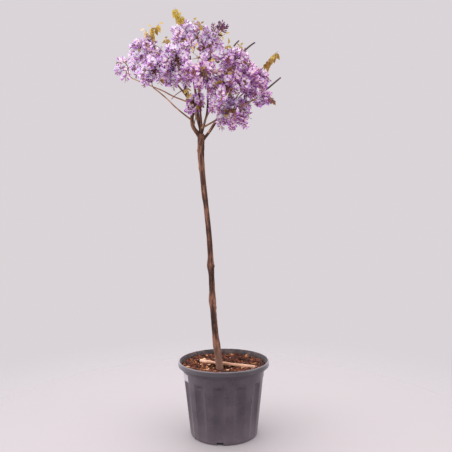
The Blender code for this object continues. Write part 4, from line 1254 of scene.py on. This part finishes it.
# Racemes still in bud above the top: three points of the line, how many buds, and their age
BUD_STEMS = (
    ((-0.016, 0.052, 1.328), (-0.026, 0.052, 1.355), (-0.029, 0.050, 1.382), 24, 0.82),
    ((-0.016, 0.052, 1.338), (-0.008, 0.052, 1.362), (-0.001, 0.056, 1.388), 28, 3.0),
    ((-0.015, 0.050, 1.344), (-0.002, 0.048, 1.357), (0.011, 0.046, 1.374), 22, 3.0),
)
# Racemes that show one by one at the crown's edges and gaps: the mass that each hangs on, and its tip
SEEN = (
    ("mid_right", (0.089, -0.060, 1.122)), ("mid_right", (0.105, -0.050, 1.114)),
    ("right", (0.101, 0.000, 1.109)), ("mid_right", (0.080, -0.055, 1.108)),
    ("low_right", (0.089, -0.040, 1.090)), ("low_left", (-0.170, -0.100, 1.141)),
    ("mid_left", (-0.153, -0.090, 1.127)), ("mid_left", (-0.108, -0.080, 1.130)),
    ("mid_left", (-0.130, -0.120, 1.145)), ("low_right", (0.033, -0.050, 1.004)),
    ("low_right", (0.012, -0.060, 1.024)), ("low_right", (0.082, -0.040, 1.014)),
    ("low_right", (0.068, -0.060, 1.034)), ("low_right", (0.092, -0.040, 1.080)),
    ("low_left", (-0.276, -0.070, 1.176)), ("low_left", (-0.229, -0.090, 1.152)),
    ("low_left", (-0.250, -0.080, 1.142)), ("low_right", (-0.004, -0.030, 1.046)),
    ("right_tip", (0.113, -0.080, 1.079)), ("right_tip", (0.139, -0.070, 1.087)),
    ("low_front", (-0.030, -0.120, 1.048)), ("front", (-0.069, -0.150, 1.110)),
    ("upper_left", (-0.285, 0.000, 1.243)), ("upper_left", (-0.268, -0.010, 1.250)),
    ("upper_left", (-0.312, 0.030, 1.298)), ("far_left", (-0.352, -0.010, 1.202)),
    ("far_left", (-0.284, -0.040, 1.206)), ("sprig", (-0.108, -0.070, 1.058)),
    ("top_right", (-0.062, 0.035, 1.368)), ("top", (-0.074, 0.010, 1.368)),
    ("upper_left", (-0.297, -0.020, 1.232)),
)
SEEN_FLOWERS = 27
SEEN_AGE = 0.12
SEEN_BARE = 0.45
BUD_STEM_SCALE = 1.22


def stem_top(mass):
    return Vector(mass.centre) + Vector((0, 0, STEM_TOP * mass.reach[2]))


def spread(mass, azimuth, elevation, share):
    """The place at this share of the mass's reach, in this direction from its centre."""
    way = Vector((math.cos(azimuth) * math.cos(elevation), math.sin(azimuth) * math.cos(elevation),
                  math.sin(elevation)))
    return Vector([c + r * w * share for c, r, w in zip(mass.centre, mass.reach, way)])


def raceme_line(mass, number):
    """A raceme's line, arching from the mass's middle. The tips are spread evenly all round it."""
    rng = Random(f"{mass.name} {number}")
    azimuth = len(mass.name) + number * GOLDEN_ANGLE + rng.uniform(-0.2, 0.2)
    elevation = math.asin(0.86 * (1 - 2 * (number + 0.5) / mass.racemes)) + rng.uniform(-0.15, 0.15)
    reach = RACEME_REACH * rng.uniform(0.84, 1.06)
    over = spread(mass, azimuth, min(1.3, elevation + ARCH), reach)
    return arc(stem_top(mass), over, spread(mass, azimuth, elevation, reach), RACHIS_STEPS)


def stem_line(mass):
    """A mass's stem: it carries on from its bough's tip and bends to the middle of the mass."""
    points = LINES[mass.bough][0]
    ahead = (points[-1] - points[-2]).normalized()
    return arc(points[-1] - ahead * STEM_OVERLAP, points[-1] + ahead * STEM_LEAD, stem_top(mass), 4)


# %% [markdown]
# ## Growing the racemes
# Flowers open from a raceme's root to its tip, so the first are wide open and pale, the last are
# closed and dark. The stalks spiral round the line, reach forward and then lift, and each flower
# holds its standard petal upwards. Its tone follows its place: paler towards the upper left, where
# the light comes from, and deeper towards the lower right, which is painted light and shade.

# %% Places and tones of flowers
MILLIMETRE = 0.001
CROWN_TOP = 1.37
CROWN_HEIGHT = 0.37
FLOWER_SIZE = 0.78
BARE_SHARE = 0.2
TWIG_RADIUS = 0.0016
RACHIS_RADIUS = 0.0014
OPEN_UNTIL = 0.64
HALF_UNTIL = 0.81
BUD_UNTIL = 0.93
UNOPENED_FROM = 2
WING_TONES = 3
EDGE = 0.0006
# The outermost points of a flower, a bud and a leaflet, in millimetres
FLOWER_CORNERS = list(map(Vector, ((0, 19, 20), (-8, 12, 18), (8, 12, 18), (0, -4, 27), (0, 0, 27))))
BUD_CORNERS = list(map(Vector, ((0, 3, 18), (0, -2, 15))))
LEAFLET_CORNERS = list(map(Vector, ((0, -6, 23), (-6, 1, 12), (6, 1, 12))))
FLOWER_MIDDLE = Vector((0, 5, 17))
LOOK_AHEAD = 0.08
SHADE_STRAY = 0.13
AGE_STRAY = 0.05
AIM_STRAY = 0.16
LIFT_STRAY = 0.35
SHOOT_SHOWS_FROM = 0.010
SHOOT_MARGIN = 0.0062
SHOWN_SHOOT = [along_path(LINES["long_right_shoot"][0], share) for share in np.linspace(0.3, 1, 18)]
placed = defaultdict(list)
twigs = []


def aimed(root, direction, lift, size):
    """The matrix of a flower at root that faces along direction with its standard upwards."""
    ahead = direction.normalized()
    side = lift.cross(ahead)
    side = side.normalized() if side.length > 1e-4 else ahead.orthogonal().normalized()
    up = ahead.cross(side)
    turn = Matrix((side, up, ahead)).transposed().to_4x4()
    return Matrix.Translation(root) @ turn @ Matrix.Scale(size * MILLIMETRE, 4)


def light_and_shade_at(place):
    """Painted light and shade: from 0, palest, at the crown's lit upper left, to 1, deepest, at its lower
    right.
    """
    across = (place.x - cad_box[0].x) / (cad_box[1].x - cad_box[0].x)
    down = (CROWN_TOP - place.z) / CROWN_HEIGHT
    return 0.5 * across + 0.5 * down


def within(matrix, mass, corners):
    """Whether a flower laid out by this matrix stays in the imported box, and in its mass's limit."""
    low, high = cad_box
    for corner in corners:
        point = matrix @ corner
        if not all(low[axis] + EDGE < point[axis] < high[axis] - EDGE for axis in range(3)):
            return False
        if mass:
            shares = [(point[axis] - mass.centre[axis]) / mass.reach[axis] for axis in range(3)]
            if Vector(shares).length > mass.limit:
                return False
    return True


def seen_at(place, depth):
    """Where the line from the camera through this place meets the upright plane at this depth."""
    nearer = (EYE[1] - depth) / (EYE[1] - place.y)
    return [EYE[axis] + (place[axis] - EYE[axis]) * nearer for axis in (0, 2)]


def in_opening(place):
    """Whether this place would hide one of the openings through which the wall is seen."""
    x, z = seen_at(place, 0)
    return any(((x - middle[0]) / reach[0]) ** 2 + ((z - middle[1]) / reach[1]) ** 2 < 1
               for middle, reach in OPENINGS)


def hides_shoot(place):
    """Whether a flower here would cover the long shoot that shows before the right side's blossom."""
    if place.x < SHOOT_SHOWS_FROM:
        return False
    for point in SHOWN_SHOOT:
        x, z = seen_at(place, point.y)
        if place.y < point.y and math.hypot(x - point.x, z - point.z) < SHOOT_MARGIN:
            return True
    return False


def grow_flower(matrix, age, shade, rng):
    """Adds one flower, open or in bud by its age, to the lists that the meshes are made from."""
    depth = min(3, max(0, round(4 * shade - 0.8 + rng.gauss(0, 0.45 + 0.5 * shade))))
    tone = (0, rng.choice((1, 2)), rng.choice((3, 4)), 5)[depth]
    wing_tone = min(WING_TONES - 1, max(0, round(shade * WING_TONES - 0.4 + rng.gauss(0, 0.6))))
    if age > UNOPENED_FROM:
        parts = [("bud", 1), ("bud_stalk", 0)]
    elif age > BUD_UNTIL:
        parts = [("young_bud", 0), ("young_bud_stalk", 0)]
    elif age > HALF_UNTIL:
        parts = [("bud", 0), ("bud_stalk", 0)]
    else:
        opening = "wide" if age < OPEN_UNTIL else "half"
        parts = [("standard_" + opening, tone), ("wings_" + opening, wing_tone),
                 ("keel", 0 if depth > 1 else 1), ("stalk", 0)]
    for part in parts:
        placed[part].append(matrix)


def grow_raceme(line, seed, mass, flowers, age_shift, bare=BARE_SHARE, scale=1.0):
    """Adds a raceme's twig, and along it every flower that fits. Without a mass, only the box limits it."""
    rng = Random(f"raceme {seed}")
    if sum(map(in_opening, line)) > 1:
        return
    twigs.append((line, [RACHIS_RADIUS * (1.2 - 0.6 * n / (len(line) - 1)) for n in range(len(line))]))
    turn = rng.uniform(0, 6)
    shade = light_and_shade_at(line[-1]) + (mass.shade if mass else 0) + rng.gauss(0, SHADE_STRAY)
    for number in range(flowers):
        share = bare + (1 - bare) * (number + 0.5) / flowers
        ahead = along_path(line, min(1, share + LOOK_AHEAD)) - along_path(line, share - LOOK_AHEAD)
        ahead.normalize()
        side = Matrix.Rotation(turn + number * GOLDEN_ANGLE, 3, ahead) @ ahead.orthogonal().normalized()
        stray = Vector((rng.gauss(0, AIM_STRAY), rng.gauss(0, AIM_STRAY), 0.1 + rng.gauss(0, AIM_STRAY)))
        direction = side + ahead * (0.2 + 0.9 * share * share) + stray
        lift = Vector((rng.gauss(0, LIFT_STRAY), rng.gauss(0, LIFT_STRAY), 1))
        size = scale * FLOWER_SIZE * (1.06 - 0.2 * share) * rng.uniform(0.86, 1.12)
        matrix = aimed(along_path(line, share), direction, lift, size)
        age = (share - bare) / (1 - bare) + age_shift + rng.gauss(0, AGE_STRAY)
        fits = within(matrix, mass, BUD_CORNERS if age > HALF_UNTIL else FLOWER_CORNERS)
        middle = matrix @ FLOWER_MIDDLE
        if fits and not in_opening(middle) and not hides_shoot(middle):
            grow_flower(matrix, age, shade, rng)


# %% Grow every mass
for mass in MASSES.values():
    stem = stem_line(mass)
    foot = LINES[mass.bough][1][-1]
    twigs.append((stem, [max(TWIG_RADIUS, foot * (1 - 0.16 * n)) for n in range(len(stem))]))
    for number in range(mass.racemes):
        line = raceme_line(mass, number)
        grow_raceme(line, f"{mass.name} {number}", mass, mass.flowers, mass.age)
for number, (name, tip) in enumerate(SEEN):
    top, tip = stem_top(MASSES[name]), Vector(tip)
    line = arc(top, top.lerp(tip, 0.6) + Vector((0, 0, 0.3 * MASSES[name].reach[2])), tip, RACHIS_STEPS)
    grow_raceme(line, f"seen {number}", None, SEEN_FLOWERS, SEEN_AGE, SEEN_BARE)
for number, (*points, buds, age) in enumerate(BUD_STEMS):
    line = arc(*map(Vector, points), RACHIS_STEPS)
    grow_raceme(line, f"unopened {number}", None, buds, age, SEEN_BARE, BUD_STEM_SCALE)
print("flowers:", {key: len(found) for key, found in placed.items()})

# %% [markdown]
# ## Petal finishes
# A petal is thin enough for light to come through, which is why the shadows in a wisteria stay
# violet and never turn grey. Each finish mixes an ordinary surface with a translucent one of the
# same hue. A tone is one plain colour, dealt out flower by flower, because a pattern would be lost
# on a thing this small.

# %% Petals
SEE_THROUGH = 0.64


def petal_finish(name, colour, through=SEE_THROUGH, roughness=0.55):
    finish, tree, shader = new_finish(name, roughness, 0.3)
    shader.inputs["Base Color"].default_value = colour
    behind = add_node(tree, "ShaderNodeBsdfTranslucent", {}, {"Color": colour})
    mix_surfaces(tree, through, shader.outputs["BSDF"], behind.outputs["BSDF"])
    return finish


STANDARD_COLOURS = (("palest", tint(221, 219, 230)), ("pale", tint(223, 216, 232)),
                    ("blush", tint(229, 217, 227)), ("lilac", tint(228, 209, 238)),
                    ("rose", tint(237, 211, 225)), ("mauve", tint(234, 197, 227)))
WING_COLOURS = (("light", tint(229, 191, 236)), ("violet", tint(212, 165, 222)),
                ("deep", tint(184, 121, 186)))
# Name, the kinds of blank, their tone, the colour, and how much light comes through
SMALL_PARTS = (("keels", ["keel"], 0, tint(136, 79, 160), 0.35),
               ("pale_keels", ["keel"], 1, tint(163, 115, 189), 0.35),
               ("buds", ["bud", "young_bud"], 0, tint(136, 76, 134), 0.25),
               ("unopened_buds", ["bud"], 1, tint(102, 46, 96), 0.15),
               ("flower_stalks", ["stalk", "bud_stalk", "young_bud_stalk"], 0, tint(160, 98, 60), 0.25))
throat = petal_finish("throat", tint(250, 244, 226))


def add_blossom(name, kinds, tone, finishes):
    """One piece of everything of these kinds and this tone."""
    made = [copies(BLANKS[kind], placed[kind, tone]) for kind in kinds if placed[kind, tone]]
    add_piece(name, mesh_of(name, made), finishes, ())


for tone, (word, colour) in enumerate(STANDARD_COLOURS):
    name = "standards_" + word
    add_blossom(name, ("standard_wide", "standard_half"), tone, [petal_finish(name, colour), throat])
for tone, (word, colour) in enumerate(WING_COLOURS):
    name = "wings_" + word
    add_blossom(name, ("wings_wide", "wings_half"), tone, [petal_finish(name, colour)])
for name, kinds, tone, colour, through in SMALL_PARTS:
    add_blossom(name, kinds, tone, [petal_finish(name, colour, through)])

# %% [markdown]
# ## Young leaves
# The leaves are just unfolding: a thin stalk with pairs of small, broad leaflets and one at its
# tip, bronze and gold before they turn green. A leaflet is a grid drawn to a point at both ends,
# folded along its midrib and bent down.

# %% Leaflets
LEAFLET_LENGTH = 22.0
LEAFLET_WIDTH = 7.4
LEAF_ARCH = 0.16
LEAF_STALK_RADIUS = 0.0011
BARE_STALK = 0.36
LEAF_TONES = (("bronze", tint(138, 102, 42)), ("gold", tint(186, 158, 76)), ("olive", tint(160, 134, 70)),
              ("tan", tint(206, 188, 150)), ("brown", tint(104, 66, 52)), ("mustard", tint(166, 142, 50)))
# Hang is how strongly the leaflets droop, tone a number in LEAF_TONES, and face the way they look along Y
Leaf = namedtuple("Leaf", "root tip pairs hang tone size face", defaults=[-1.0])
LEAVES = (
    Leaf((-0.131, -0.010, 1.350), (-0.156, -0.006, 1.421), 6, 1.2, 5, 1.00),
    Leaf((-0.131, 0.004, 1.355), (-0.137, 0.010, 1.403), 4, 1.0, 5, 0.95),
    Leaf((-0.105, -0.004, 1.332), (-0.092, 0.002, 1.380), 3, 0.5, 2, 0.75),
    Leaf((-0.087, -0.020, 1.327), (-0.067, -0.024, 1.360), 3, 0.4, 2, 0.70),
    Leaf((-0.242, 0.020, 1.312), (-0.258, 0.016, 1.356), 4, 1.6, 3, 0.85),
    Leaf((-0.234, 0.022, 1.312), (-0.236, 0.016, 1.367), 4, 1.7, 1, 0.90),
    Leaf((-0.232, 0.020, 1.335), (-0.211, 0.014, 1.374), 4, 1.0, 1, 0.85),
    Leaf((-0.019, 0.048, 1.322), (0.013, 0.046, 1.350), 1, 0.2, 1, 0.80),
    Leaf((0.018, -0.020, 1.251), (0.022, -0.030, 1.290), 3, 0.9, 2, 0.80),
    Leaf((0.048, -0.012, 1.263), (0.063, -0.020, 1.289), 3, 0.4, 2, 0.70),
    Leaf((0.124, 0.010, 1.200), (0.190, 0.000, 1.275), 5, 1.3, 0, 1.32),
    Leaf((-0.091, -0.070, 1.248), (-0.084, -0.080, 1.264), 1, 0.3, 1, 0.80),
    Leaf((-0.049, -0.090, 1.204), (-0.034, -0.110, 1.214), 2, 0.6, 1, 0.85),
    Leaf((-0.185, -0.010, 1.290), (-0.182, -0.030, 1.309), 3, 0.4, 2, 0.80),
    Leaf((-0.114, -0.090, 1.134), (-0.108, -0.100, 1.122), 1, 0.5, 2, 0.80),
    Leaf((-0.097, -0.090, 1.115), (-0.104, -0.100, 1.105), 1, 0.3, 2, 0.70),
    Leaf((0.002, -0.120, 1.164), (0.030, -0.150, 1.168), 4, 0.5, 4, 0.90),
    Leaf((-0.017, -0.120, 1.152), (-0.004, -0.150, 1.168), 4, 0.6, 4, 0.90),
    Leaf((0.072, -0.070, 1.194), (0.084, -0.100, 1.204), 3, 0.5, 4, 0.80),
    Leaf((-0.188, -0.130, 1.155), (-0.190, -0.140, 1.143), 2, 0.5, 4, 0.80),
    Leaf((-0.070, 0.130, 1.330), (-0.052, 0.140, 1.366), 3, 0.7, 1, 0.85),
    Leaf((-0.236, 0.160, 1.310), (-0.250, 0.176, 1.340), 3, 0.6, 2, 0.80),
    Leaf((0.064, 0.170, 1.276), (0.080, 0.184, 1.300), 3, 0.6, 0, 0.80),
)


def leaflet_form(bend):
    def form(u, v):
        width = LEAFLET_WIDTH * math.sin(math.pi * v**0.8) ** 0.85 * (1 - 0.25 * v) if 0 < v < 1 else 0.15
        return Vector((u * width, -bend * v * v + 0.42 * abs(u) * width, 1.5 + LEAFLET_LENGTH * v))
    return form


LEAFLETS = [blank_of(shaped_grid(4, 6, leaflet_form(bend))) for bend in (3, 8)]
leaf_places = defaultdict(list)


def grow_leaf(leaf, seed):
    """A pinnate leaf: a stalk that arches from root to tip, with pairs of hanging leaflets."""
    rng = Random(f"leaf {seed}")
    root, tip = Vector(leaf.root), Vector(leaf.tip)
    line = arc(root, root.lerp(tip, 0.55) + Vector((0, 0, LEAF_ARCH * (tip - root).length)), tip, 6)
    twigs.append((line, [LEAF_STALK_RADIUS - 0.00008 * n for n in range(len(line))]))
    ahead = (line[-1] - line[-2]).normalized()
    side = ahead.cross(Vector((0.1, 1, 0.2))).normalized()
    starts = [(1.0, ahead + Vector((0, 0, -0.6 * leaf.hang)))]
    for pair in range(leaf.pairs):
        for hand in (-1, 1):
            droop = Vector((rng.gauss(0, 0.2), rng.gauss(0, 0.35), -leaf.hang * rng.uniform(0.7, 1.4)))
            aim = side * hand * 1.3 / (1 + leaf.hang) + ahead * 0.3 + droop
            starts.append((BARE_STALK + 0.6 * (pair + 0.5) / leaf.pairs, aim))
    for share, aim in starts:
        lift = Vector((rng.gauss(0, 0.35), leaf.face + rng.gauss(0, 0.35), 0.5))
        matrix = aimed(along_path(line, share), aim, lift, leaf.size * rng.uniform(0.75, 1.05))
        if within(matrix, None, LEAFLET_CORNERS) and not in_opening(matrix @ FLOWER_MIDDLE):
            tone = leaf.tone if rng.random() < 0.75 else rng.randrange(3)
            leaf_places[tone, rng.randrange(2)].append(matrix)


for number, leaf in enumerate(LEAVES):
    grow_leaf(leaf, number)
for mass in MASSES.values():
    rng = Random(f"leaves {mass.name}")
    for number in range(mass.leaves):
        root = stem_top(mass)
        tip = spread(mass, rng.uniform(0, 2 * math.pi), rng.uniform(-0.5, 1.0), rng.uniform(0.55, 0.85))
        small = Leaf(root, tip, 2, 0.6, rng.choice((0, 4, 4)), 0.62, rng.uniform(-1, 1))
        grow_leaf(small, f"{mass.name} {number}")
for tone, (word, colour) in enumerate(LEAF_TONES):
    name = "leaves_" + word
    made = [copies(blank, leaf_places[tone, kind]) for kind, blank in enumerate(LEAFLETS)]
    add_piece(name, mesh_of(name, made), [petal_finish(name, colour, 0.35, 0.42)])

# %% [markdown]
# ## Twigs
# All the twigs that were noted on the way, from the masses' stems to the lines of racemes and
# leaves, are wrapped with one small tube blank and joined. This piece stands for the packed
# masses, as the flowers hang on it. Some shoots were cut back. They are bare, and a darker piece.

# %% Twigs
TWIG_RINGS = 9
TWIG_BLANK = tube_blank(6, TWIG_RINGS - 1)
SHOOT_RADIUS = 0.0033
CUT_SHOOTS = (
    ((0.110, -0.078, 1.098), (0.150, -0.055, 1.138), (0.194, -0.030, 1.178)),
    ((0.060, -0.010, 1.254), (0.084, 0.006, 1.290), (0.113, 0.020, 1.311)),
    ((0.034, 0.000, 1.275), (0.039, 0.020, 1.301), (0.059, 0.034, 1.322)),
    ((-0.061, -0.120, 1.180), (-0.050, -0.140, 1.202), (-0.031, -0.150, 1.211)),
    ((-0.016, 0.052, 1.328), (-0.022, 0.052, 1.355), (-0.008, 0.054, 1.380)),
)


def add_twigs(name, lines, finish, nodes):
    """One piece of many thin twigs, each given as (points, radii)."""
    mesh = limb_mesh(name, [wrapped(TWIG_BLANK, line, radii, TWIG_RINGS) for line, radii in lines])
    add_piece(name, mesh, [finish], nodes, 60)


twig_finish = bark_finish("twig_bark", tint(104, 74, 62), tint(146, 110, 88), tint(180, 146, 118), 0.7)
add_twigs("twigs", twigs, twig_finish, [mass.name for mass in MASSES.values()])
cut_finish = bark_finish("cut_shoot_bark", tint(44, 30, 31), tint(70, 49, 50), tint(104, 78, 76), 0.7)
cut_radii = [SHOOT_RADIUS * (1 - 0.04 * n) for n in range(7)]
cut_lines = [(arc(*map(Vector, line), 6), cut_radii) for line in CUT_SHOOTS]
add_twigs("cut_shoots", cut_lines, cut_finish, ())

# %% [markdown]
# ## Check and finish
# The dressed plant has to stay within the imported model's box, so how far it reaches past that box is
# printed for each axis. The last line prints how many triangles the pieces have.

# %% Sizes
dressed_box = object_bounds()
for axis, word in enumerate("xyz"):
    below, above = cad_box[0][axis] - dressed_box[0][axis], dressed_box[1][axis] - cad_box[1][axis]
    print(word, "past the packed box in mm:", round(1000 * below, 1), round(1000 * above, 1))
faces = [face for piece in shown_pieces() if piece.type == "MESH" for face in piece.data.polygons]
print("triangles:", sum(len(face.vertices) - 2 for face in faces))
